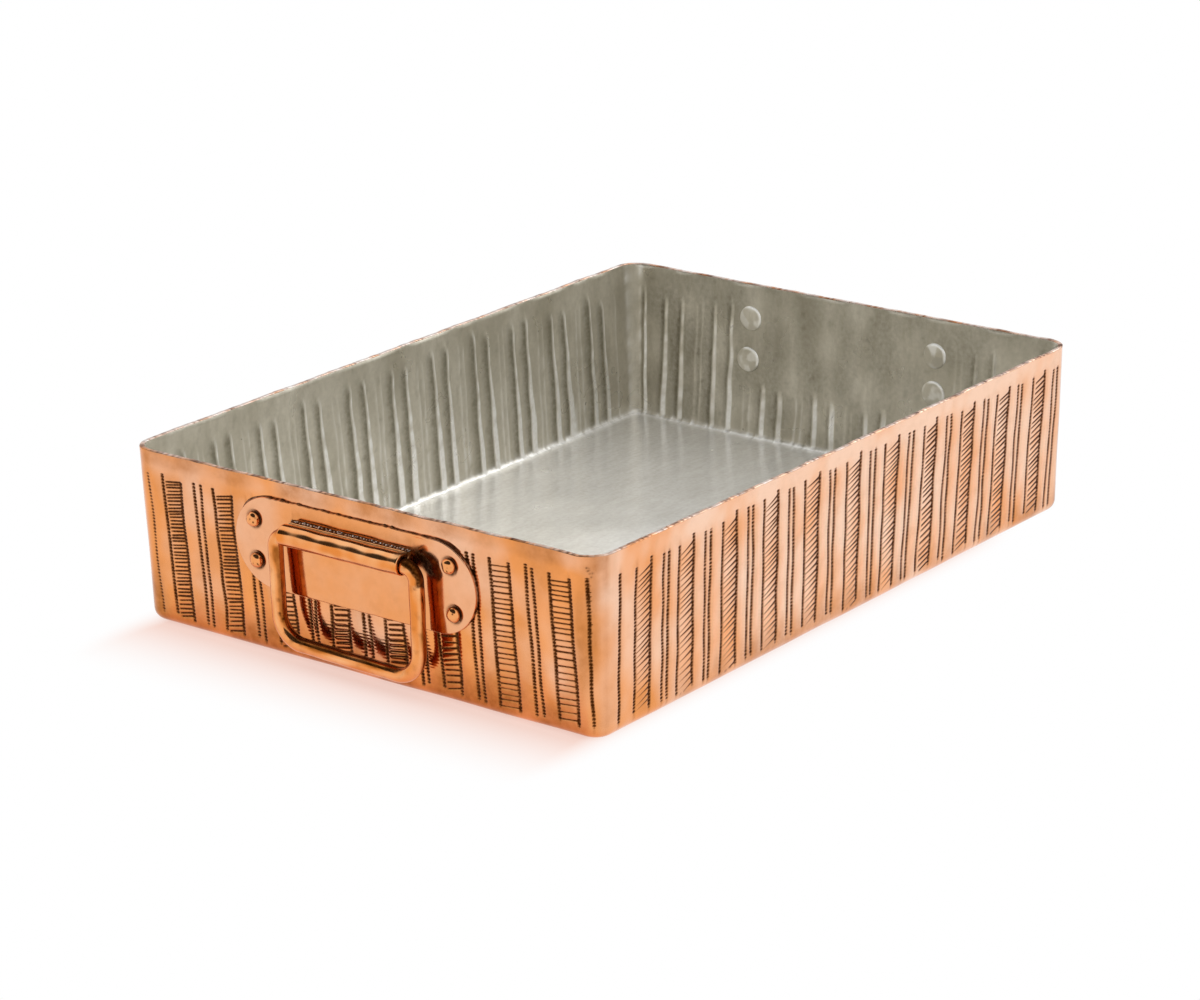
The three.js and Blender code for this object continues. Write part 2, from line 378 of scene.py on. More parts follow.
def plain_rows(side, places, inset, z):
    """Points of rows without relief, one for each inset and height."""
    inset, z = (np.atleast_1d(values)[:, None] for values in (inset, z))
    place, _ = plan(side, np.broadcast_to(places, (len(inset), len(places))), CORNER - inset)
    return with_height(place, z)


# Chased stripes
class Line:
    """One chased line: beads struck one after another down the wall."""

    def __init__(self, rng, place, top, lean, strength, beading):
        self.place = place
        self.top = top + rng.uniform(-0.6, 0.6)
        self.end = STRIPE_END + rng.uniform(-1.2, 0.8)
        self.lean = lean + rng.uniform(-0.6, 0.6)
        self.strength = strength
        self.wander = Wave(rng, 34)
        self.force = Wave(rng, 14)
        self.beading = beading
        self.phase = Wave(rng, 9)
        self.opens = False  # a ladder
        self.bold = False  # inside, as a ridge

    def shift(self, drop):
        """How far the line lies from its place at this drop."""
        return self.lean * (drop / STRIPE_END - 0.5) + LINE_WANDER * self.wander(drop)

    def press(self, drop):
        """How deep the line is at this drop, from 0 to about 1."""
        ends = rise(drop, self.top, 0.9) * fall(drop, self.end, 2.2)
        beads = np.sin(2 * np.pi * drop / BEAD_PITCH + 0.8 * self.phase(drop))
        return self.strength * ends * np.clip(0.7 + 0.1 * self.force(drop) + self.beading * beads, 0.1, 1.1)


def rungs(rng, ladder, drop, across):
    """Depth of a ladder's slanted rungs, at drops below the rim and places from 0 at its left line to 1 at
    its right."""
    left, _, (slant, curve, first, thin, thick, heavy_at, fade), pitch = ladder
    depth = 0.0
    at = left.top + FIRST_RUNG
    while at < left.end - 1:
        middle = at + slant * rng.uniform(0.82, 1.18) * (0.5 - across ** curve)
        start = first + rng.uniform(-0.05, 0.05)
        inside = rise(across, start, 0.1) * fall(across, 1.04, 0.08)
        heavy = heavy_at(across)
        width = (thin + (thick - thin) * heavy) * rng.uniform(0.85, 1.15)
        force = rng.uniform(0.75, 1.0) * (0.35 + 0.65 * heavy) * (1 - fade * rise(at, 45, 25))
        depth = np.maximum(depth, force * inside * bell((drop - middle) / width))
        at += pitch * (0.86 + 0.28 * at / STRIPE_END) * rng.uniform(0.8, 1.2)
    return depth


# How rungs look: slant, bend, start, thin and thick widths, how thick they are across, and fading downwards
EVEN = (1.8, 1, 0.1, 0.38, 0.44, lambda across: 0.6 + 0.4 * across, 0.1)
NAILED = (0.9, 1, 0.0, 0.3, 0.5, lambda across: 0.4 + 0.6 * (2 * across - 1) ** 4, 0.15)
TAPERED = (3.5, 1.2, 0.02, 0.28, 0.56, lambda across: across ** 1.6, 0.35)
BOLD = (3.1, 1.1, 0.15, 0.32, 0.54, lambda across: 0.2 + 0.8 * across, 0.15)


def stripe_plan(side, rng):
    """The lines of one side from left to right, its ladders, each with its two lines, its rungs' style and
    their pitch, and its random numbers. The copper and the tin behind it share them."""
    lines, ladders = [], []
    long = side in LONG_SIDES
    pitch = LONG_PITCH if long else END_PITCH
    count, shift = LADDERS[side], SHIFTS[side]

    def line(place, strength=1.0, more=0.0):
        top = END_TOP
        lean = END_LEAN - LAST_UPRIGHT * (place > WIDTH / 2 - CORNER)
        if long:
            top = LONG_TOP + 3.2 * fall(place, -60, 100) + 1.3 * rise(place, 20, 120)
            lean = LONG_LEAN - RIGHT_LEAN * rise(place, 5, 50)
        beading = (LONG_BEADING if long else END_BEADING) + more
        lines.append(Line(rng, place, top, lean, strength, beading))
        return lines[-1]

    if long:
        line(shift - count / 2 * pitch)
    else:
        line(END_FIRST_LINE, 0.55)
    for k in range(count):
        middle = shift + (k - (count - 1) / 2) * pitch + rng.uniform(-0.6, 0.6)
        left = line(middle - LADDER_WIDTH / 2)
        right = line(middle + LADDER_WIDTH / 2)
        left.opens = left.bold = right.bold = True
        if long:
            style = TAPERED if k < count - 4 else BOLD
            step = LONG_RUNGS
            right.top -= 1.6
        else:
            style = EVEN if k < count - 2 else NAILED
            step = END_RUNGS[0] + END_RUNGS[1] * k
            right.top += 1.2
        ladders.append((left, right, style, step))
        if long or k < count - 1:
            double = middle + pitch / 2 + rng.uniform(-0.4, 0.4)
            line(double - DOUBLE_WIDTH / 2, more=DOUBLE_BEADING)
            line(double + DOUBLE_WIDTH / 2, more=DOUBLE_BEADING)
    if not long:
        line(END_LAST_LINES[side]).bold = side == "far"
    return lines, ladders, rng


def bristles(rng, line, along, down):
    """Depth of the ragged ticks to the right of the last line of a short end."""
    depth = np.zeros(along.shape)
    for at in np.arange(line.top + 1, BRISTLES_END, BRISTLE_PITCH):
        reach = rng.uniform(0.5, 1.7)
        away = along - line.place - line.shift(at) - reach / 2
        tick = bell(away / (reach / 2)) * bell((down - at) / 0.3)
        depth = np.maximum(depth, rng.uniform(0.1, 0.65) * tick)
    return depth


PATTERNS = {side: stripe_plan(side, randoms("stripes", i)) for i, side in enumerate(SIDES)}


def side_columns(side, lines, offsets_of, step_after):
    """Places of a grid's columns: at the offsets round each line, and evenly spread between them."""
    end = side_runs(side)[2]
    places = []
    edge, step = -end, PLAIN_STEP
    for mark in lines:
        offsets = offsets_of(mark)
        start = mark.place + offsets[0]
        places += list(np.linspace(edge, start, max(1, round((start - edge) / step)), endpoint=False))
        places += [mark.place + offset for offset in offsets[:-1]]
        edge, step = mark.place + offsets[-1], step_after(mark)
    places += list(np.linspace(edge, end, max(1, round((end - edge) / PLAIN_STEP)), endpoint=False))
    return np.array(places)


def line_shift(side, lines, places, drop):
    """How far each column moves along the side at each drop, so that it follows the lines next to it."""
    end = side_runs(side)[2]
    still = np.zeros_like(drop)
    spread = LINE_OFFSETS[-1]
    knots = np.concatenate([[-end], *[[m.place - spread, m.place + spread] for m in lines], [end]])
    moves = np.stack([still, *[m.shift(drop) for m in lines for _ in range(2)], still], -1)
    return np.stack([np.interp(places, knots, row) for row in moves])


def under_plate(along, drop, margin):
    """1 where the backplate covers the wall, which isn't chased there."""
    half = PLATE_HEIGHT / 2
    across = np.maximum(np.abs(along) - (PLATE_LENGTH / 2 - half), 0)
    away = np.hypot(across, drop - PLATE_DROP - half)
    return smooth((half - margin - away) / 0.8 + 0.5)


def chased(side, places, along, drop):
    """Depth of the chasing, from 0 to about 1, over one side's grid."""
    lines, ladders, rng = PATTERNS[side]
    depth = np.zeros(along.shape)
    for mark in lines:
        near = np.abs(places - mark.place) < 1.5
        cut = bell((places[near] - mark.place) / LINE_WIDTH)
        depth[:, near] = np.maximum(depth[:, near], np.outer(mark.press(drop), cut))
    down = drop[:, None]
    for ladder in ladders:
        left, right = ladder[:2]
        between = (places > left.place - 0.1) & (places < right.place + 0.1)
        struck = rungs(rng, ladder, down, across_strip(places[between], left, right))
        depth[:, between] = np.maximum(depth[:, between], struck * RUNG_DEPTH / LINE_DEPTH)
    if side not in LONG_SIDES:
        depth *= 1 - under_plate(along, down, 0.5)
        high = down < PLATE_DROP + PLATE_HEIGHT / 2
        depth[(along < 0) & (along > 2 - PLATE_LENGTH / 2) & high] = 0
        depth = np.maximum(depth, bristles(rng, lines[-1], along, down))
    return depth


def strips(lines):
    """The plain strips between the stripes, each as its left and right lines."""
    return [(a, b) for a, b in zip(lines, lines[1:]) if not a.opens and b.place - a.place > 5]


def across_strip(places, left, right):
    """How far over the strip between two lines each place lies, from 0 to 1."""
    return unit((places - left.place) / (right.place - left.place))


def pillows(lines, places, drop):
    """Swelling of the plain strips."""
    height = np.zeros(len(places))
    for left, right in strips(lines):
        across = across_strip(places, left, right)
        height += 4 * across * (1 - across)
    return PILLOW * np.outer(rise(drop, 5, 9) * fall(drop, 76, 9), height)


def hammered(rng, side, along, drop):
    """Shallow hammer marks: a row of them under the rim and a few all over the wall."""
    end = side_runs(side)[2] - 6
    height = np.zeros(along.shape)
    marks = [(at + rng.uniform(-2, 2), rng.uniform(2.5, 6), rng.uniform(3.4, 5), rng.uniform(0.04, 0.1))
             for at in np.arange(-end, end, 7.5)]
    marks += [(rng.uniform(-end, end), rng.uniform(8, 70), rng.uniform(5, 9), rng.uniform(0.02, 0.05))
              for _ in range(60)]
    for place, down, size, deep in marks:
        close = np.abs(along[0] - place) < 4 * size
        height[:, close] -= deep * bell(np.hypot(along[:, close] - place, drop[:, None] - down) / size)
    return height


def wall_cloud(use, side, along, drop, length, stretch=1.0):
    """Smooth random height over a side, which runs on round the corners."""
    place = plan(side, along, CORNER)[0]
    return swell(randoms(use), with_height(place, stretch * drop[:, None]), length)


def corner_specks(rng, line, along, down):
    """Dark specks high up beside the last line of a short end."""
    dark = np.zeros(along.shape)
    for _ in range(7):
        right = line.place + rng.uniform(-0.8, 2.2)
        away = np.hypot(along - right, down - rng.uniform(4, 9))
        dark = np.maximum(dark, rng.uniform(0.4, 0.8) * bell(away / rng.uniform(0.35, 0.55)))
    return dark


def stripe_stains(lines, ladders, places):
    """How brown each column is round the lines and towards each ladder's right line, and how orange it is:
    a painted reflection just right of each line that fades over its strip, and more inside the ladders.
    """
    halo = np.zeros(len(places))
    orange = np.zeros(len(places))
    for mark in lines:
        halo = np.maximum(halo, 0.6 * mark.strength * bell(places - mark.place))
    for left, right in strips(lines):
        # painted reflection: orange just right of each line, fading over the strip's swell
        across = across_strip(places, left, right)
        orange += 0.22 * (1 - across) ** 1.6 * ((across > 0) & (across < 1))
    for left, right, *_ in ladders:
        across = across_strip(places, left, right)
        inside = (across > 0) & (across < 1)
        orange += inside * (0.04 + 0.18 * across)
        halo = np.maximum(halo, inside * 0.25 * across ** 2)
    return halo, orange


def copper_layers(side, places, along, drop, depth, dents):
    """How dark, how brown and how orange the copper is: dark in what is chased and at the corner's specks,
    brown stains round the lines, painted brown shade low down and, on the short ends, under the rim, brown
    streaks up the corners that are partly stains and partly a painted reflection, and orange as a painted
    reflection just right of each line, low down and on the short ends, there partly heat tint."""
    lines, ladders, rng = PATTERNS[side]
    run, _, end = side_runs(side)
    down = drop[:, None]
    short = rise(np.abs(plan(side, places, CORNER)[1][:, 0]), 0.1, 0.8)
    dark = unit(3.6 * depth - 0.5)
    if side not in LONG_SIDES:
        dark = np.maximum(dark, corner_specks(rng, lines[-1], along, down))
    halo, orange = stripe_stains(lines, ladders, places)
    corner = rise(np.abs(places), run - 3, 5)
    streaks = 0.5 + 0.5 * Wave(rng, 4.5)(places) * fall(np.abs(places), end, 4)
    stripes = rise(down, 5, 8) * fall(down, 78, 4)
    # painted shade on the short ends, under the rim and towards the base
    low = 0.3 * fall(down, 8, 4) + 0.35 * rise(down, 53, 20) + 0.26
    # painted brown shade towards the base; brown streaks up the corners, partly stains, partly a painted
    # reflection
    brown = 0.5 * rise(down, 56, 20) + low * short + 0.45 * corner * streaks
    brown = brown * np.clip(0.75 + 0.35 * wall_cloud("brown", side, along, drop, 18, 0.5), 0.2, 1.3)
    brown = np.maximum(np.maximum(brown, stripes * halo), 0.95 * smooth(depth / 0.4))
    # orange just right of the lines and lower down: a painted reflection of the strips' swell and the shaded
    # floor
    warm = 0.14 + 0.15 * corner + stripes * orange + 0.3 * rise(down, 40, 32) + 2 * dents
    # warmer short ends, partly heat tint and partly a painted reflection of the shaded floor; warmer to each
    # side's left
    warm = warm + np.maximum(0.62 * short, 0.34 * fall(places, -50, 110))
    warm = warm + 0.14 * wall_cloud("warm", side, along, drop, 42)
    warm = warm + 0.06 * wall_cloud("flecks", side, along, drop, 11)
    if side not in LONG_SIDES:
        warm = warm - 0.35 * bell(along / 36) * bell((down - 57) / 9)
    return dark, unit(brown), unit(warm)


# Pan body
STRIP = 90  # height of each side's strip in the pieces' maps
STRIPS = ("front", "back", "far", "near")
PAN_MAP = 362  # width of the pan's map, and of the tin's
TIN_MAP = 608
MAP_ROW = 0.4  # height of a hidden row in them
SPARE_RIGHT = 305  # where the whole faces lie in them, right of the strips
RIM_TIN = {"front": 0.1, "far": 0.35, "back": 0.35, "near": 0.15}  # how much of the rim the tin covers


def side_strip(side, places):
    """Left and right of each column in the map, and the height at which its side's strip begins."""
    end = side_runs(side)[2]
    left = places + end
    return np.stack([left, np.append(left[1:], 2 * end), np.full(len(places), STRIP * STRIPS.index(side))])


def wall_drops():
    """Drops of the outside's rows, from the base up to the rim."""
    run, bend = wall_run(0), bend_run(0)
    round_base = run + np.linspace(bend, 0, 9)[:-1]
    return np.r_[round_base, np.arange(run, 1.6, -ROW_STEP), RIM_DROPS]


def rim_layers(rng, side, places):
    """How dark and how tinned each row of the rim is."""
    tin = unit(RIM_TIN[side] + waves(rng, places, (0.35, 22), (0.25, 3)))
    soiled = np.clip(0.75 + waves(rng, places, (0.3, 14), (0.3, 2.5)), 0.1, 1)
    tinned = np.outer((0.5, 0.9, 1, 1, 1, 1), tin)
    dark = np.outer((0.65, 0.85, 0.9, 0.9, 0.85, 0.85), soiled) * (1 - 0.5 * tinned)
    return dark, tinned


def pan_side(side, drop):
    """One side's rows up the outside, over the rim and down the hidden inside: points, places in the map,
    and how dark, brown, orange and tinned they are."""
    lines, _, rng = PATTERNS[side]
    ragged = None if side in LONG_SIDES else lines[-1]
    places = side_columns(side, lines, lambda mark: RAGGED_OFFSETS if mark is ragged else LINE_OFFSETS,
                          lambda mark: LADDER_STEP if mark.opens else PLAIN_STEP)
    along = places + line_shift(side, lines, places, drop)
    depth = chased(side, places, along, drop)
    dents = hammered(rng, side, along, drop)
    relief = pillows(lines, places, drop) - LINE_DEPTH * depth + dents
    relief += 0.06 * wall_cloud("waves", side, along, drop, 45)
    outer = wall(0, drop)
    hidden_inset, hidden_z = plain_wall(COPPER, RIM_DROPS[0])
    base = plain_rows(side, places, outer[0][0] + RING, outer[1][0])
    face = relief_rows(side, along, outer, relief)
    rim = plain_rows(side, places, *rim_rows(0, TIN_FACE + RIM_OVERLAP))
    inside = plain_rows(side, places, np.append(hidden_inset, hidden_inset[-1] + RING),
                        np.append(hidden_z, hidden_z[-1]))
    rim_wave = waves(rng, places, (0.16, 40), (0.08, 9))
    rim[..., 2] += rim_wave
    face[..., 2] += rim_wave * fall(drop, 9, 9)[:, None]
    dark, brown, warm = copper_layers(side, places, along, drop, depth, dents)
    rim_dark, tinned = rim_layers(rng, side, places)
    below_rim = ((1, len(rim) + len(inside)), (0, 0))
    layers = (np.pad(np.vstack([dark, rim_dark]), ((1, len(inside)), (0, 0))), np.pad(brown, below_rim),
              np.pad(warm, below_rim, mode="edge"),
              np.vstack([0 * base[..., 0], 0 * dark, tinned, np.repeat(tinned[-1:], len(inside), 0)]))
    return np.vstack([base, face, rim, inside]), side_strip(side, places), layers


def pan_body():
    """Copper pan: chased outside, rounded rim, plain hidden inside."""
    drop = wall_drops()
    parts, strips_uv, layers = zip(*(pan_side(side, drop) for side in SIDES))
    points = np.hstack(parts)
    dark, brown, warm, tinned = (np.hstack(layer) for layer in zip(*layers))
    rows, columns = points.shape[:2]
    steps = np.r_[0, RING, -np.diff(drop), np.full(rows - len(drop) - 1, MAP_ROW)]
    flat = points.reshape(-1, 3)[:, :2]
    caps = [0.3 * flat[cap] + (SPARE_RIGHT, 220 + 80 * k) for k, cap in enumerate(end_caps(rows, columns))]
    uv = np.vstack([grid_uv(*np.hstack(strips_uv), np.cumsum(steps)), *caps]) / PAN_MAP
    return make_piece("copper_pan", points, uv=uv, patina=dark, stain=brown, warmth=warm, tinned=tinned)


# Tin lining
def ribs(side, along, drop):
    """Ridges that the chasing has pushed through to the inside: a long back, and a steep face that widens
    downwards. Gives their height, and their painted light: a painted highlight on the steep face (above 0)
    and painted shade on the back (below 0)."""
    rng = randoms("ribs", STRIPS.index(side))
    broad = 1.0 if side in LONG_SIDES else 0.5
    down = drop[:, None]
    grow = rise(down, 12, 62)
    height = np.zeros(along.shape)
    sheen = np.zeros(along.shape)
    for mark in PATTERNS[side][0]:
        strong = mark.bold
        high = rng.uniform(0.7, 1.05) if strong else rng.uniform(0.12, 0.3) * mark.strength
        face = rng.uniform(0.8, 1.2) * (broad * (0.9 + 2.6 * grow) if strong else 0.6 + 0.3 * grow)
        back = 2.4 + 3.4 * broad if strong else 1.1
        top = mark.top + rng.uniform(-2, 2)
        if side not in LONG_SIDES and abs(mark.place) < PLATE_LENGTH / 2 - 3:
            top = PLATE_DROP + PLATE_HEIGHT + rng.uniform(-2, 2)
        tip = rise(down, top, 8)
        away = mark.place + mark.shift(down) - along + 1.5 * (1 - rise(down, top, 6))
        slope = np.where(away < 0, smooth(1 + away / back), unit(1 - away / face) ** 1.2)
        height += high * tip * (0.75 + 0.25 * grow) * slope
        # painted highlight on the steep face, which looks towards the lamp
        lit = rise(away, -1.2, 1.3) * fall(away, face + 0.35, 0.6)
        lit *= (0.5 + 0.4 * grow + 0.25 * Wave(rng, 10)(down)) * (0.55 + 0.45 * broad)
        if strong:
            # painted shade on the long back
            dull = smooth(1.1 + away / back) * fall(away, -0.5, 1.2)
            sheen += tip * (1.3 * lit - (0.3 + 0.8 * broad) * dull)
        else:
            sheen += 0.45 * mark.strength * tip * lit
    return height, sheen


def tin_wall(side, drop, profile):
    """Points of one ribbed wall, its columns' places, its painted highlight and shade with dark specks, and
    the painted highlight along its joint.
    """
    lines = PATTERNS[side][0]
    rng = randoms("tin", STRIPS.index(side))
    straight, _, end = side_runs(side)
    run, bend = wall_run(TIN_FACE), bend_run(TIN_FACE)
    places = side_columns(side, lines, lambda mark: RIDGE_OFFSETS if mark.bold else FAINT_OFFSETS,
                          lambda mark: PLAIN_STEP)
    along = places + line_shift(side, lines, places, drop)
    height, sheen = ribs(side, along, drop)
    down = drop[:, None]
    fade = fall(down, run + bend, bend)
    spots = np.stack([along, np.broadcast_to(down, along.shape)], -1)
    uneven = 0.04 * swell(rng, spots, 30) + 0.015 * swell(rng, spots, 9)
    relief = -height * fade - uneven * fall(down, run, 12)
    # painted highlight up each corner
    sheen += 0.7 * bell((np.abs(places) - straight - 5) / 1.6) * (0.6 + 0.4 * Wave(rng, 9)(down))
    # painted shade in cloudy patches, heavy over the whole far wall, which faces away from the lamp
    sheen -= (0.5 if side == "far" else 0.1) * unit(0.65 + 0.35 * swell(rng, spots * (1, 0.6), 30))
    sheen -= 0.25 * unit(swell(rng, spots, 6) - 1.3)
    joint = bell((down - run - 0.6 * bend) / (0.42 * bend))
    # how much tin gathered in the joint: it swells the fillet and sets the painted highlight along it
    pooled = 0.7 - 0.3 * places / end + waves(rng, places, (0.4, 9), (0.35, 3))
    relief -= 0.15 * joint * pooled
    return relief_rows(side, along, profile, relief), places, sheen * fade, joint * unit(pooled)


def tin_map(points, strips_uv, steps, floor_rows):
    """Map places of the tin's faces: the walls in strips and the floor, laid flat, above them."""
    rows, columns = points.shape[:2]
    flat = points.reshape(-1, 3)[:, :2]
    uv = grid_uv(*np.hstack(strips_uv), np.cumsum(steps))
    middle = (LENGTH / 2, 4 * STRIP + WIDTH / 2)
    first = (rows - floor_rows - 1) * columns
    uv[4 * first:] = flat[grid_quads(rows, columns)[first:].ravel()] + middle
    below, above = end_caps(rows, columns)
    return np.vstack([uv, 0.2 * flat[below] + (SPARE_RIGHT, 240), flat[above] + middle]) / TIN_MAP


def tin_lining():
    """The tin wiped over the inside: ribbed walls, a filleted joint and a slightly uneven floor."""
    run, bend = wall_run(TIN_FACE), bend_run(TIN_FACE)
    drop = np.r_[np.linspace(0.6, run, 38), run + np.linspace(0, bend, 9)[1:]]
    inner = wall(TIN_FACE, drop)
    hidden_inset, hidden_z = (row[::-1] for row in plain_wall(TIN_BACK, 1.0))
    rim_inset, rim_z = rim_rows(TIN_BACK, TIN_FACE, -TIN_LOW)
    back_inset = np.r_[hidden_inset[0] + RING, hidden_inset, rim_inset]
    back_z = np.r_[hidden_z[0], hidden_z, rim_z]
    spread = np.r_[np.linspace(0, FLOOR_EDGE, 5)[1:], np.linspace(FLOOR_EDGE, 0.985, 28)[1:]]
    parts, strips_uv, sheens, seams = [], [], [], []
    for side in SIDES:
        face, places, sheen, seam = tin_wall(side, drop, inner)
        left = CORNER - inner[0][-1]
        floor = [plan(side, places, left * (1 - 0.4 * share), 1 - share)[0] for share in spread]
        floor = with_height(np.array(floor), TIN_FACE)
        parts.append(np.vstack([plain_rows(side, places, back_inset, back_z), face, floor]))
        strips_uv.append(side_strip(side, places))
        extra = ((len(back_z), len(spread)), (0, 0))
        sheens.append(np.pad(sheen, extra))
        seams.append(np.pad(seam, extra))
    points = np.hstack(parts)
    floor = points[-len(spread):]
    rng = randoms("floor")
    uneven = 0.1 * swell(rng, floor[..., :2], 70) + 0.03 * swell(rng, floor[..., :2], 22)
    floor[..., 2] += uneven * smooth(spread / FLOOR_EDGE)[:, None]
    steps = np.r_[0, np.full(len(back_z), MAP_ROW), np.diff(drop), np.full(len(spread), 0.1)]
    wiped = np.zeros(points.shape[:2])
    wiped[-len(spread) - 4:] = 1
    sheen = np.hstack(sheens)
    return make_piece("tin_inside", points, uv=tin_map(points, strips_uv, steps, len(spread)),
                      seam=np.hstack(seams), worn=unit(sheen), soiled=unit(-sheen), wiped=wiped)


# Handle fittings
PLATE_MIDDLE_Z = HEIGHT - (PLATE_DROP + PLATE_HEIGHT / 2) * math.cos(LEAN)
PLATE_MIDDLE_X = LENGTH / 2 - math.tan(LEAN) * (HEIGHT - PLATE_MIDDLE_Z)
ENDS = {"far": 1, "near": -1}


def on_end(points, end):
    """Points given out from the wall, to the right along it and up it, put on one end of the pan."""
    out, right, up = np.moveaxis(points, -1, 0)
    x = PLATE_MIDDLE_X + out * math.cos(LEAN) + up * math.sin(LEAN)
    z = PLATE_MIDDLE_Z - out * math.sin(LEAN) + up * math.cos(LEAN)
    return np.stack([ENDS[end] * x, ENDS[end] * right, z], -1)


def rivet_places():
    """Middles of the four rivets on a plate, to the right and up, each a little off its place."""
    middles = [(side * RIVET_SPAN / 2, row * RIVET_RISE / 2) for side in (1, -1) for row in (1, -1)]
    return [(right + off, up + above) for (right, up), (off, above) in zip(middles, RIVET_SET)]


def stadium(step):
    """Middle line and outward direction of an outline with round ends, anticlockwise from the lower left."""
    half = PLATE_LENGTH / 2 - PLATE_HEIGHT / 2
    quarter = math.pi / 2
    straight = np.linspace(-half, half, round(2 * half / step))
    turn = np.linspace(-quarter, quarter, round(math.pi * PLATE_HEIGHT / 2 / step))[1:-1]
    middle = np.r_[straight, np.full(len(turn), half), straight[::-1], np.full(len(turn), -half)]
    angle = np.r_[np.full(len(straight), -quarter), turn, np.full(len(straight), quarter), turn + math.pi]
    return middle, np.stack([np.cos(angle), np.sin(angle)], -1)


def plate_outline(rng, middle, way):
    """How rough the plate's edge is, and how far its foot is squeezed out beyond it."""
    right, up = way.T
    rough = waves(rng, middle, (0.1, 11), (0.07, 3.5))
    lumps = np.zeros(len(middle))
    for at in np.arange(-60, 60, 7.5):
        lumps += rng.uniform(0.15, 0.55) * bell((middle + 4 * right - at - rng.uniform(-2, 2)) / 1.3)
    lumps *= rise(up, 0.3, 0.5)
    squeezed = 0.3 * rise(right, 0.3, 0.6) * rise(up, -0.6, 0.5)
    squeezed += 1.1 * bell((np.arctan2(up, -right) - 0.9) / 0.3) * (right < -0.05)
    return rough + 0.4 * lumps, squeezed + lumps


def plate_soot(rng, y, z):
    """How burnt the plate is: in a slanting patch at the strap's right and in a band along its braze."""
    right, up = y - KNUCKLE_LENGTH / 2 - 6, z - AXIS_UP - 1.2
    patch = 1.4 * bell(np.hypot((right - up) / 8.5, (right + up) / 3.6))
    top = STRAP_TOP + 0.7 + waves(rng, y, (0.4, 5), (0.25, 1.8))
    band = fall(z, top, 1.2) * rise(z, AXIS_UP, 2) * fall(np.abs(y), KNUCKLE_LENGTH / 2 + 1, 2)
    patch = patch * (1 + 0.4 * swell(rng, np.stack([y, z], -1), 4))
    return unit(np.maximum(patch, 0.95 * band))


def backplate(end):
    """Plate with round ends and a rough upper edge, dark along the foot of its edge and beside the strap,
    and
    dark in the hollows round the rivets: patina there with painted shade, darker on one side.
    """
    rng = randoms("plate", ENDS[end])
    middle, way = stadium(PLATE_STEP)
    half = PLATE_HEIGHT / 2
    foot, skirt = np.array(PLATE_FOOT).T
    out = np.r_[foot, PLATE_OUTER - PLATE_EDGE * (1 - np.sin(QUARTER)), np.full(44, PLATE_OUTER)]
    inset = np.r_[0 * foot, PLATE_EDGE * (1 - np.cos(QUARTER)), np.linspace(PLATE_EDGE, half - 0.02, 45)[1:]]
    skirt = np.r_[skirt, np.zeros(len(out) - len(skirt))]
    rough, squeezed = plate_outline(rng, middle, way)
    reach = half - inset[:, None] + np.outer(skirt, squeezed) + np.outer(fall(inset, 2.4, 2.4), rough)
    y = middle + way[:, 0] * reach
    z = way[:, 1] * reach
    face = (inset >= PLATE_EDGE)[:, None]
    x = out[:, None] + face * 0.05 * swell(rng, np.stack([y, z], -1), 34)
    dark = 0.9 * unit((1.25 - x) / 0.7) * (inset < 0.9 * PLATE_EDGE)[:, None]
    for right, up in rivet_places():
        ring = bell((np.hypot(y - right, z - up) - DOME_RADIUS - 0.3) / 0.7)
        x -= face * 0.25 * ring
        # painted shade, with patina, in the hollow round each rivet, darker on one side
        dark = np.maximum(dark, face * 0.9 * ring * (0.8 + 0.2 * np.sin(np.arctan2(z - up, y - right) + 2)))
    dark = np.maximum(dark, face * plate_soot(rng, y, z))
    beside = np.abs(y) - KNUCKLE_LENGTH / 2
    under_strap = 0.35 * face * bell((z - AXIS_UP - 7) / 2.5) * (beside < 0)
    x *= 1 - PLATE_THINNED * rise(z, AXIS_UP + 4, 7) * fall(beside, 8, 8)
    return make_piece(f"{end}_backplate", on_end(np.stack([x, y, z], -1), end), patina=dark,
                      stain=0.2 + under_strap, warmth=0.9 - 0.35 * rise(np.abs(y), 34, 12))


def strap_section(lift):
    """Outline of the strap across its length: rolled round the rod and thinner below, then a groove, a small
    lip, the braze that runs up the plate by lift, and the back."""
    roll = np.linspace(-128, 120, 62)
    radius = STRAP_RADIUS - STRAP_THINNED * fall(roll, 15, 80)
    turn = np.radians(roll)
    share = np.linspace(0, 1, BRAZE_POINTS + 1)[1:]
    lip_out, lip_up = np.array(STRAP_LIP).T
    braze = BRAZE_OUT - (BRAZE_OUT - STRAP_BACK) * (1 - (1 - share) ** 2)
    back_up = (STRAP_TOP - 2, AXIS_UP, STRAP_FOOT)
    x = np.r_[AXIS_OUT + radius * np.cos(turn), lip_out, braze, np.full(len(back_up), STRAP_BACK)]
    z = np.r_[AXIS_UP + radius * np.sin(turn), STRAP_TOP + lip_up,
              STRAP_TOP + lip_up[-1] + (lift - lip_up[-1]) * share ** 1.2, back_up]
    return np.stack([x, z])


def strap_layers(rng, along, x, z, specks, lip, braze):
    """How dark, how orange and how brown the strap is: dark in its groove, in the braze and where its right
    end is burnt, orange at the lip, and across the roll orange in front as a painted reflection and brown
    below as painted shade."""
    number = np.arange(x.shape[1])
    dark = np.zeros(x.shape)
    dark[:, lip - 2:lip] = 0.95
    dark[:, braze.start - 1] = 0.95
    dark[:, braze] = 0.95 * (1 - specks[:, braze])
    burnt = rise(along, KNUCKLE_LENGTH / 2 - 5, 5)[:, None] * rise(number, lip - 22, 16)
    turned = np.degrees(np.arctan2(z - AXIS_UP, x - AXIS_OUT))
    cloud = swell(rng, over(along, 0.3 * number), 9)
    # orange in front of the roll: a painted reflection
    warm = 0.12 + 0.6 * bell((turned - 5) / 34) + 0.22 * cloud + 0.2 * (number >= lip)
    # brown below: painted shade
    brown = 0.5 * fall(turned, -12, 30) * (1 + 0.5 * cloud)
    return np.maximum(dark, 0.9 * burnt), unit(warm), unit(brown)


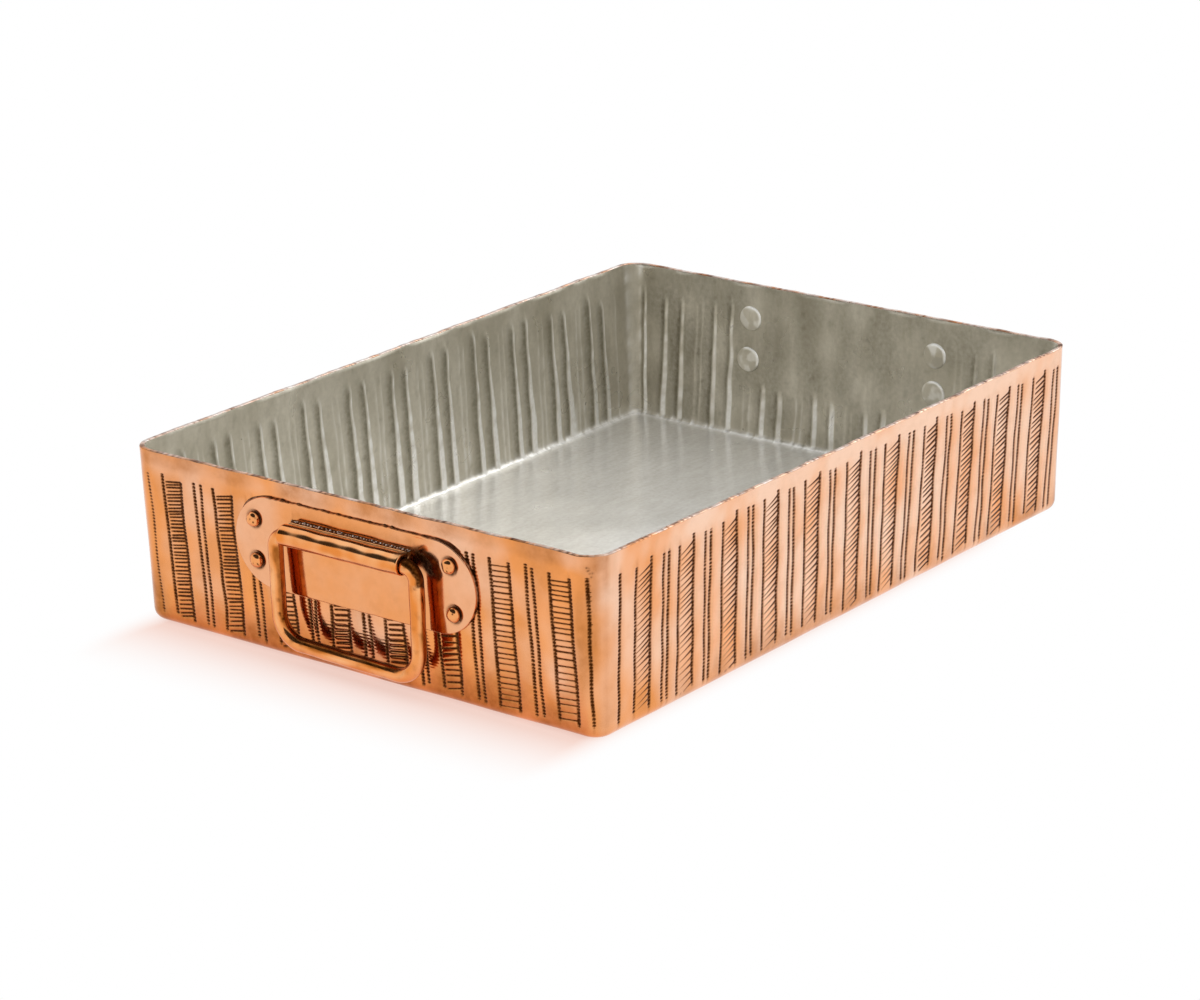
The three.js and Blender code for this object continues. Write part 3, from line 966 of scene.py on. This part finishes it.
def knuckle(end):
    """Strap rolled round the rod and brazed along its upper edge."""
    rng = randoms("strap", ENDS[end])
    half = KNUCKLE_LENGTH / 2
    turn = QUARTER[1:]
    body = np.linspace(-half + STRAP_EDGE, half - STRAP_EDGE, 170)
    rounded = half - STRAP_EDGE * (1 - np.sin(turn))
    inset = STRAP_EDGE * (1 - np.cos(turn))
    along = np.r_[-rounded[::-1], body, rounded]
    shrink = np.r_[inset[::-1], np.zeros(len(body)), inset]
    lumps = waves(rng, along, (0.6, 6), (0.5, 2.4))
    lifts = (0.3 + 0.25 * lumps) * (0.5 + 0.5 * rise(along, 1 - half, 5))
    x, z = np.stack([strap_section(lift) for lift in lifts], 1)
    count = x.shape[1]
    number = np.arange(count)
    braze = slice(count - 3 - BRAZE_POINTS, count - 3)
    lip = braze.start - len(STRAP_LIP) + 1
    crumbs = swell(rng, over(along, 0.4 * np.arange(BRAZE_POINTS)), 1.7)
    x[:, braze] += 0.12 * crumbs
    wave = 0.06 * swell(rng, over(along, 0.3 * number), 13) * (number < lip)
    scale = 1 - (shrink[:, None] - wave) / np.hypot(x - AXIS_OUT, z - AXIS_UP)
    outer = np.stack([np.maximum(AXIS_OUT + (x - AXIS_OUT) * scale, STRAP_BACK),
                      np.broadcast_to(along[:, None], x.shape), AXIS_UP + (z - AXIS_UP) * scale], -1)
    angle = np.arctan2(z[0] - AXIS_UP, x[0] - AXIS_OUT)
    bore = over((half, half - 0.6, 0.6 - half, -half), angle)
    bore = np.stack([AXIS_OUT + BORE_RADIUS * np.cos(bore[..., 1]), bore[..., 0],
                     AXIS_UP + BORE_RADIUS * np.sin(bore[..., 1])], -1)
    specks = np.zeros(x.shape)
    specks[:, braze] = rise(crumbs, 0.75, 0.3) * (np.arange(BRAZE_POINTS) < 5)
    dark, warm, brown = strap_layers(rng, along, x, z, specks, lip, braze)
    bore_rows = ((0, len(bore)), (0, 0))
    return make_piece(f"{end}_knuckle", on_end(np.vstack([outer, bore]), end), looped=True, inward=True,
                      patina=np.pad(dark, bore_rows, constant_values=0.9), warmth=np.pad(warm, bore_rows),
                      stain=np.pad(brown, bore_rows), tinned=np.pad(specks, bore_rows))


def rod_layers(rng, around, angle, way, right, up):
    """How dark, how brown and how orange the rod is: painted brown shade on the side that looks right, up
    and to the pan, with a paler painted highlight beside it; on the lower bar's upper side dark crust and
    painted reflection; painted shade on the side that faces the pan; and scorched at its upper right bend."""
    out = np.sin(angle)
    streaks = swell(rng, around * (0.25, 1), 5)
    marks = swell(rng, around, 4.5)
    upright = way[:, None, 0] ** 2
    side = upright * unit(right / LOOP_WIDTH + 0.5)
    # how far each point looks the way of the painted brown shade
    turned = upright * (BROWN_RIGHT[0] * np.cos(angle) * way[:, None, 0] - BROWN_RIGHT[1] * out)
    turned = turned + (1 - upright) * (BROWN_UP[0] * np.cos(angle) * way[:, None, 1] - BROWN_UP[1] * out)
    brown = smooth((turned + 0.1 - 0.4 * side + 0.15 * streaks) / 0.4)
    brown = brown * (1 - 0.4 * fall(out, -0.3, 0.5)) + 0.08 * streaks
    # a paler painted highlight beside the painted shade
    gleam = bell((turned + 0.5 - 0.8 * side) / 0.25)
    # the lower bar's upper side: partly crust, partly a painted reflection
    crust = smooth((turned - 0.08 + 0.1 * marks) / 0.25) * unit(-way[:, None, 1])
    crust = crust * unit(0.6 + 0.5 * swell(rng, around * (0.3, 1.6), 3))
    # dark marks, most on the lower left bend's shaded side: patina and a painted reflection of the chased
    # lines
    bend = bell(np.hypot(right + LOOP_WIDTH / 2 - 5, up + 38) / 14)
    dark = unit(marks - 0.6) * (0.15 + 0.9 * bend * rise(turned, -0.2, 0.3))
    scorch = smooth((up + 8.5 + 0.8 * marks) / 2.5) * rise(right, KNUCKLE_LENGTH / 2 - 1, 2)
    scorch = scorch * smooth((0.85 * np.cos(angle) - 0.5 * out + 0.1 + 0.1 * marks) / 0.3)
    # scorch, the lower bar's dark side, and painted shade on the side that faces the pan
    for share, more in ((0.9, scorch), (0.85, crust), (0.5, fall(out, -0.45, 0.3))):
        dark = np.maximum(dark, share * more)
    return dark, unit(brown), unit(0.8 + 0.2 * streaks - 0.45 * gleam)


def pivot_of(end):
    """Place of an end's hinge in millimetres."""
    found = [joint for joint in frame["joints"] if joint["name"] == f"{end}_handle_swing"]
    return np.array(found[0]["pos_m"]) / MM


def handle_path(height):
    """Middle line of the loop of rod, right and up from the pivot, with the direction to its outside."""
    top = LOOP_WIDTH / 2 - TOP_BEND
    bottom = LOOP_WIDTH / 2 - BOTTOM_BEND
    bends = [(top, -TOP_BEND, TOP_BEND), (-top, -TOP_BEND, TOP_BEND),
             (-bottom, BOTTOM_BEND - height, BOTTOM_BEND), (bottom, BOTTOM_BEND - height, BOTTOM_BEND)]
    arcs, ways = [], []
    for quarter, (right, up, radius) in enumerate(bends):
        turn = (quarter + np.linspace(0, 1, 17)) * math.pi / 2
        ways.append(np.stack([np.cos(turn), np.sin(turn)], -1))
        arcs.append(np.array([right, up]) + radius * ways[-1])
    path, outward = [], []
    for k, arc in enumerate(arcs):
        straight = np.linspace(arc[-1], arcs[(k + 1) % 4][0], 34)[1:-1]
        path += [arc, straight]
        outward += [ways[k], np.broadcast_to(ways[k][-1], straight.shape)]
    path = np.concatenate(path)
    low_left = unit(-path[:, 1] / height) * np.clip(0.5 - path[:, 0] / LOOP_WIDTH, 0.15, 1)
    return path + (LOOP_SLIDE, 0) + low_left[:, None] * LOOP_SKEW, np.concatenate(outward)


def handle(end):
    """Loop of hand-bent round rod."""
    rng = randoms("rod", ENDS[end])
    pivot = pivot_of(end)
    place, way = handle_path(pivot[2] - HANDLE_LIFT - ROD_RADIUS)
    angle = np.linspace(0, 2 * np.pi, 33)[:-1]
    along = np.cumsum(np.linalg.norm(np.diff(place, axis=0, append=place[:1]), axis=1))
    around = over(along, 3 * angle)
    radius = ROD_RADIUS - 0.06 + 0.05 * swell(rng, around, 14)
    right, up = (place[:, None, k] + radius * np.cos(angle) * way[:, None, k] for k in range(2))
    points = pivot + np.stack([ENDS[end] * radius * np.sin(angle), ENDS[end] * right, up], -1)
    dark, brown, warm = rod_layers(rng, around, angle, way, right, up)
    return make_piece(f"{end}_loop", points, looped=True, patina=dark, stain=brown, warmth=warm)


def rivet_profile():
    """How far out a rivet's rings lie and how wide they are, from the dome's top to the inside head."""
    turn = np.linspace(0, math.pi / 2, 10)[1:]
    foot = DOME_SEAT - DOME_SINK
    neck = FLAT_SEAT + FLAT_SINK
    flat = FLAT_SEAT - FLAT_HEIGHT
    out = np.r_[foot + (DOME_HEIGHT + DOME_SINK) * np.cos(turn) ** 0.9, foot, neck, neck,
                flat + FLAT_EDGE * (1 - np.sin(QUARTER)), np.full(len(FLAT_RINGS), flat)]
    radius = np.r_[DOME_RADIUS * np.sin(turn), SHANK_RADIUS, SHANK_RADIUS, FLAT_RADIUS,
                   FLAT_RADIUS - FLAT_EDGE * (1 - np.cos(QUARTER)), FLAT_RINGS]
    return out, radius


def rivet(end, number, right, up):
    """Rivet with a small dome outside and a wide hammered head, wiped with tin, inside."""
    rng = randoms("rivet", 10 * ENDS[end] + number)
    out, radius = rivet_profile()
    angle = np.linspace(0, 2 * np.pi, 49)[:-1]
    spots = radius[:, None, None] * np.stack([np.cos(angle), np.sin(angle)], -1)
    facets = np.zeros(spots.shape[:2])
    for _ in range(9):
        facets = np.minimum(facets, spots @ (rng.normal(size=2) * 0.15) - 0.15 + rng.uniform(0, 0.12))
    out = out[:, None]
    x = out - (out < FLAT_SEAT - 0.5) * facets * 0.6 + (out > DOME_SEAT) * 0.1 * swell(rng, spots, 4.5)
    points = on_end(np.concatenate([x[..., None], spots + (right, up)], -1), end)
    tinned = (out < FLAT_SEAT + 0.4) * np.ones(x.shape)
    # dark at the dome's foot: patina with painted shade
    low = unit(1 - (out - DOME_SEAT) / 0.7) * (out > DOME_SEAT - 0.4)
    pits = unit(swell(rng, spots, 1.6) - 1.2) * (1 - tinned)
    # painted highlight along the upper edge of the inside head, with patches of wear
    upper = rise(spots @ (-0.7, 0.7) / FLAT_RADIUS, 0.1, 0.5)
    worn = tinned * np.maximum(upper * (radius > 5.4)[:, None], 0.4 * smooth(swell(rng, spots, 7)))
    return make_piece(f"{end}_rivet_{number}", points, inward=True, patina=np.maximum(0.9 * low, pits),
                      warmth=np.full(x.shape, 0.5), tinned=tinned, worn=worn)


# Materials
class Nodes:
    """Adds and joins the nodes of one tree."""

    def __init__(self, tree):
        self.tree = tree

    def find(self, kind):
        return next(node for node in self.tree.nodes if node.type == kind)

    def feed(self, socket, value):
        if isinstance(value, bpy.types.NodeSocket):
            self.tree.links.new(value, socket)
        else:
            socket.default_value = value

    def add(self, kind, inputs=None, **settings):
        node = self.tree.nodes.new("ShaderNode" + kind)
        for name, value in settings.items():
            setattr(node, name, value)
        for name, value in (inputs or {}).items():
            self.feed(node.inputs[name], value)
        return node

    def attribute(self, name):
        return self.add("Attribute", attribute_name=name).outputs["Fac"]

    def place(self, kind="Object"):
        return self.add("TexCoord").outputs[kind]

    def noise(self, scale, detail=2.0, roughness=0.5, stretch=(1, 1, 1)):
        mapped = self.add("Mapping", {"Vector": self.place(), "Scale": stretch}).outputs["Vector"]
        inputs = {"Vector": mapped, "Scale": scale, "Detail": detail, "Roughness": roughness}
        return self.add("TexNoise", inputs).outputs["Fac"]

    def math(self, operation, a, b=0.0, clamp=False):
        return self.add("Math", {0: a, 1: b}, operation=operation, use_clamp=clamp).outputs[0]

    def vector(self, operation, a, b=(0, 0, 0)):
        node = self.add("VectorMath", {0: a, 1: b}, operation=operation)
        return node.outputs["Value" if operation in ("LENGTH", "DOT_PRODUCT") else "Vector"]

    def span(self, value, low, high, to_low=0.0, to_high=1.0):
        inputs = {"Value": value, "From Min": low, "From Max": high, "To Min": to_low, "To Max": to_high}
        return self.add("MapRange", inputs).outputs["Result"]

    def mix(self, share, first, second):
        node = self.add("Mix", {"Factor": share}, data_type="RGBA")
        colours = [socket for socket in node.inputs if socket.type == "RGBA"]
        for socket, colour in zip(colours, (first, second)):
            self.feed(socket, colour if isinstance(colour, bpy.types.NodeSocket) else (*colour, 1))
        return next(socket for socket in node.outputs if socket.type == "RGBA")

    def bump(self, height, strength, distance):
        inputs = {"Height": height, "Strength": strength, "Distance": distance}
        return self.add("Bump", inputs).outputs["Normal"]


# Colours of polished copper, of warm copper and of brown stains, which also give painted brown shade
SHEET_COLOURS = ((0.97, 0.64, 0.465), (0.91, 0.35, 0.108), (0.45, 0.155, 0.036))
ROD_COLOURS = ((0.94, 0.47, 0.21), (0.82, 0.265, 0.055), (0.32, 0.095, 0.015))
# dark of patina in the hollows, which also gives painted shade
PATINA = (0.07, 0.018, 0.002)
RIM_GREY = (0.7, 0.68, 0.66)
TIN_WALL = (0.66, 0.62, 0.52)
TIN_DULL = (0.43, 0.395, 0.307)
TIN_SOIL = (0.22, 0.2, 0.145)
TIN_FLOOR = (0.93, 0.915, 0.88)
TIN_BRIGHT = (0.95, 0.94, 0.9)
# Layers that tone the tin (painted shade with soil, painted highlight, painted highlight along the seam),
# their colours and how the speckle thins them
TIN_TONES = (("soiled", TIN_SOIL, (0.3, 0.7, 0.75, 1.15)), ("worn", TIN_BRIGHT, (0.3, 0.6, 0.7, 1.1)),
             ("seam", TIN_BRIGHT, (0.3, 0.6, 0.6, 1.1)))
TIN_METALLIC = 0.5
DARK_ROUGHNESS = 0.35  # how much rougher dark copper is
GRAIN_STRENGTH = 0.1
GRAIN_HEIGHT = 0.0001


def new_material(name, metallic):
    """A material with a Principled shader, its nodes and a function that feeds the shader."""
    material = bpy.data.materials.new(name)
    material.use_nodes = True
    nodes = Nodes(material.node_tree)
    shader = nodes.find("BSDF_PRINCIPLED")
    shader.inputs["Metallic"].default_value = metallic
    return material, nodes, lambda socket, value: nodes.feed(shader.inputs[socket], value)


def copper_colours(nodes, pale, warm, brown):
    """Copper's colour and how dark it is: warmer in clouds, browner in stains and painted shade, dark where
    it is chased and where shade is painted.
    """
    cloud = nodes.span(nodes.noise(38, 3), 0.3, 0.7, -0.16, 0.16)
    base = nodes.mix(nodes.math("ADD", nodes.attribute("warmth"), cloud, clamp=True), pale, warm)
    blotch = nodes.span(nodes.noise(120, 4, 0.6), 0.5, 0.8, 0, 0.14)
    patches = nodes.span(nodes.noise(260, 4, 0.6), 0.3, 0.65, 0.65, 1.0)
    stain = nodes.math("MULTIPLY", nodes.attribute("stain"), patches)
    base = nodes.mix(nodes.math("ADD", blotch, stain, clamp=True), base, brown)
    grain = nodes.span(nodes.noise(900, 2), 0.3, 0.7, 0.8, 1.25)
    depth = nodes.math("MULTIPLY", nodes.attribute("patina"), grain, clamp=True)
    return nodes.mix(depth, base, PATINA), depth


def metal_grain(nodes):
    """Normal of a surface with the fine grain of well-used metal."""
    return nodes.bump(nodes.noise(700, 3, 0.6), GRAIN_STRENGTH, GRAIN_HEIGHT)


def copper(name, colours, smoothest, roughest):
    """Polished copper, grey where tin runs over the rim and in the braze's specks."""
    material, nodes, feed = new_material(name, 1.0)
    colour, depth = copper_colours(nodes, *colours)
    shine = nodes.span(nodes.noise(60, 3), 0.3, 0.7, smoothest, roughest)
    feed("Base Color", nodes.mix(nodes.attribute("tinned"), colour, RIM_GREY))
    feed("Roughness", nodes.math("ADD", shine, nodes.math("MULTIPLY", depth, DARK_ROUGHNESS)))
    feed("Normal", metal_grain(nodes))
    return material


def tin_colours(nodes):
    """Tin's colour on the walls, mottled and dull in patches."""
    patches = nodes.span(nodes.noise(30, 4, 0.6, stretch=(1, 1, 0.5)), 0.38, 0.68)
    mottle = nodes.span(nodes.noise(160, 4, 0.6, stretch=(1, 1, 0.3)), 0.35, 0.7, 0, 0.8)
    return nodes.mix(nodes.math("MAXIMUM", patches, mottle), TIN_WALL, TIN_DULL)


def tin():
    """Tin: dull walls whose ridges carry painted highlight and shade, a bright wiped floor, and a painted
    highlight along the fillet where the tin gathered.
    """
    material, nodes, feed = new_material("wiped_tin", TIN_METALLIC)
    speckle = nodes.noise(500, 3, 0.6)
    wiped = nodes.attribute("wiped")
    wiping = nodes.span(nodes.noise(1.0, 4, 0.7, stretch=(60, 260, 60)), 0.3, 0.8, 0, 0.28)
    colour = nodes.mix(wiped, tin_colours(nodes), nodes.mix(wiping, TIN_FLOOR, TIN_DULL))
    colour = nodes.mix(nodes.span(speckle, 0.35, 0.75, 0, 0.16), colour, TIN_SOIL)
    for layer, toned, speckled in TIN_TONES:
        share = nodes.math("MULTIPLY", nodes.attribute(layer), nodes.span(speckle, *speckled), clamp=True)
        colour = nodes.mix(share, colour, toned)
    feed("Base Color", colour)
    feed("Metallic", nodes.span(share, 0, 1, TIN_METALLIC, 0.15))
    dull = nodes.span(nodes.noise(45, 3), 0.3, 0.7, 0.26, 0.36)
    feed("Roughness", nodes.math("SUBTRACT", dull, nodes.math("MULTIPLY", wiped, 0.08)))
    return material


def rivet_metal():
    """Copper rivets whose inside heads the tin covers."""
    material, nodes, feed = new_material("riveted_copper", 1.0)
    colour, depth = copper_colours(nodes, *ROD_COLOURS)
    tinned = nodes.attribute("tinned")
    # the inside head lighter with wear and a painted highlight
    head = nodes.mix(nodes.attribute("worn"), tin_colours(nodes), TIN_BRIGHT)
    shine = nodes.span(tinned, 0, 1, 0.12, 0.3)
    feed("Base Color", nodes.mix(tinned, colour, head))
    feed("Roughness", nodes.math("ADD", shine, nodes.math("MULTIPLY", depth, DARK_ROUGHNESS)))
    feed("Metallic", nodes.span(tinned, 0, 1, 1.0, TIN_METALLIC))
    feed("Normal", metal_grain(nodes))
    return material


# Putting the pieces on the frame
def dress(piece, body, slot, material, *nodes):
    """Gives a piece its material, its body and the solids that it stands for; its slot is not used."""
    piece.data.materials.append(material)
    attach(piece, body)
    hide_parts(*nodes)


sheet_copper = copper("chased_copper", SHEET_COLOURS, 0.1, 0.16)
plate_copper = copper("plate_copper", SHEET_COLOURS, 0.08, 0.13)
rod_copper = copper("rod_copper", ROD_COLOURS, 0.08, 0.14)
rivet_copper = rivet_metal()
dress(pan_body(), "pan", "copper_sheet", sheet_copper, "pan_body")
dress(tin_lining(), "pan", "tin", tin(), "tin_lining")
for end in ENDS:
    dress(backplate(end), "pan", "copper_plate", plate_copper, f"backplate_{end}")
    dress(knuckle(end), "pan", "copper_rod", rod_copper, f"knuckle_{end}")
    dress(handle(end), f"{end}_handle", "copper_rod", rod_copper, f"handle_{end}")
    for number, (right, up) in enumerate(rivet_places(), 1):
        dress(rivet(end, number, right, up), "pan", "rivet", rivet_copper, f"rivet_{end}_{number}")


# Floor, light and camera, in metres
FLOOR_HALF = 3.0
FLOOR_LEVEL = -0.0004
FLOOR_COLOUR = (0.96, 0.88, 0.83)
FLOOR_BLUSH = (1.0, 0.73, 0.65)  # painted shadow: the pink the floor glows with beside the pan
SHADOW_MIDDLE = (-0.04, 0, 0)  # middle of the part of the floor that is shaded in full
SHADOW_HALF = (0.135, 0.112, 0)  # its half length and half width
SHADOW_REACH = 0.055  # how far beyond its ends the shade fades to plain white
SHADOW_SIDES = 3  # how many times sooner it fades beyond the long sides
WHITE_SHARE = 0.75  # share of the floor's colour that shadows leave alone, even there
AMBIENT = 1.0
DARK_WAY = (-0.72, 0.1, 0.687)  # towards the dark part of the studio that the polished metal mirrors
DARK_EDGE = (0.72, 0.8)  # cosines of the angles from it over which the studio turns dark
DARK_FOOT = (0.35, 0.42)  # sines of the elevations over which the dark part begins
DARK_LEVEL = 0.04
KEY_PLACE = (1.25, -0.35, 1.1)
KEY_SIZE = 1.5
KEY_POWER = 11


def mirrored_ray(nodes, path):
    """1 for rays that come from a mirror or through glass."""
    return nodes.math("MAXIMUM", path.outputs["Is Glossy Ray"], path.outputs["Is Transmission Ray"])


def floor():
    """Pale floor that keeps the shadow near the pan, with a painted pink shadow in its glow there, and is
    plain white further off.
    """
    mesh = bpy.data.meshes.new("floor")
    corners = [(x * FLOOR_HALF, y * FLOOR_HALF, FLOOR_LEVEL)
               for x, y in ((-1, -1), (1, -1), (1, 1), (-1, 1))]
    mesh.from_pydata(corners, [], [(0, 1, 2, 3)])
    made = put("floor", mesh)
    material, nodes, _ = new_material("pale_floor", 0.0)
    beside = nodes.vector("ABSOLUTE", nodes.vector("SUBTRACT", nodes.place(), SHADOW_MIDDLE))
    beyond = nodes.vector("SUBTRACT", beside, SHADOW_HALF)
    distance = nodes.vector("MULTIPLY", nodes.vector("MAXIMUM", beyond), (1, SHADOW_SIDES, 1))
    close = nodes.span(nodes.vector("LENGTH", distance), 0.0, SHADOW_REACH, 1.0, 0.0)
    far = nodes.math("SUBTRACT", 1.0, nodes.math("MULTIPLY", close, close))
    path = nodes.add("LightPath")
    seen = nodes.math("MAXIMUM", path.outputs["Is Camera Ray"], mirrored_ray(nodes, path))
    # its glow: tinted with the painted shadow beside the pan, white further off
    white = nodes.add("Emission", {"Color": nodes.mix(far, FLOOR_BLUSH, (1, 1, 1))})
    shade = nodes.add("BsdfDiffuse", {"Color": (*FLOOR_COLOUR, 1)})
    share = nodes.math("MULTIPLY", nodes.span(far, 0.0, 1.0, WHITE_SHARE, 1.0), seen)
    mix = nodes.add("MixShader", {0: share, 1: shade.outputs[0], 2: white.outputs[0]})
    nodes.feed(nodes.find("OUTPUT_MATERIAL").inputs["Surface"], mix.outputs[0])
    nodes.tree.nodes.remove(nodes.find("BSDF_PRINCIPLED"))
    made.data.materials.append(material)


def world():
    """White all round, with a dark part above and to the left that only reflections show."""
    made = bpy.data.worlds.new("studio")
    bpy.context.scene.world = made
    made.use_nodes = True
    nodes = Nodes(made.node_tree)
    way = nodes.place("Generated")
    toward = nodes.span(nodes.vector("DOT_PRODUCT", way, DARK_WAY), *DARK_EDGE)
    above = nodes.span(nodes.vector("DOT_PRODUCT", way, (0, 0, 1)), *DARK_FOOT)
    studio = nodes.span(nodes.math("MULTIPLY", toward, above), 0.0, 1.0, 1.0, DARK_LEVEL)
    path = nodes.add("LightPath")
    mirrored = mirrored_ray(nodes, path)
    seen = nodes.math("MAXIMUM", nodes.math("MULTIPLY", mirrored, studio), path.outputs["Is Camera Ray"])
    direct = nodes.math("MAXIMUM", mirrored, path.outputs["Is Camera Ray"])
    ambient = nodes.math("MULTIPLY", nodes.math("SUBTRACT", 1.0, direct), AMBIENT)
    background = nodes.find("BACKGROUND")
    background.inputs["Color"].default_value = (1, 1, 1, 1)
    nodes.feed(background.inputs["Strength"], nodes.math("ADD", seen, ambient))


def lamp():
    """Square soft lamp that shines on the pan."""
    data = bpy.data.lights.new("key", "AREA")
    data.size = KEY_SIZE
    data.energy = KEY_POWER
    made = put("key", data)
    made.location = KEY_PLACE
    made.rotation_euler = (-Vector(KEY_PLACE)).to_track_quat("-Z", "Y").to_euler()


PHOTO_WIDTH = 1200
CAMERA_PLACE = Vector((-1.280115, -0.993878, 0.586971))
CAMERA_TARGET = Vector((-0.002024, 0.008555, 0.027132))
CAMERA_ROLL = math.radians(-1.161)
FOCAL_PIXELS = 3895.55
SENSOR = 36.0  # millimetres
CAMERA_SIGHT = 20


def camera():
    """Camera at the photograph's viewing angle."""
    data = bpy.data.cameras.new("camera")
    data.sensor_fit = "HORIZONTAL"
    data.sensor_width = SENSOR
    data.lens = FOCAL_PIXELS * SENSOR / PHOTO_WIDTH
    data.clip_end = CAMERA_SIGHT
    back = (CAMERA_PLACE - CAMERA_TARGET).normalized()
    right = Vector((0, 0, 1)).cross(back).normalized()
    up = back.cross(right)
    across = math.cos(CAMERA_ROLL) * right + math.sin(CAMERA_ROLL) * up
    above = math.cos(CAMERA_ROLL) * up - math.sin(CAMERA_ROLL) * right
    made = put("camera", data)
    turn = Matrix((across, above, back)).transposed().to_4x4()
    made.matrix_world = Matrix.Translation(CAMERA_PLACE) @ turn
    bpy.context.scene.camera = made


floor()
world()
lamp()
camera()
bpy.context.scene.view_settings.view_transform = "Standard"
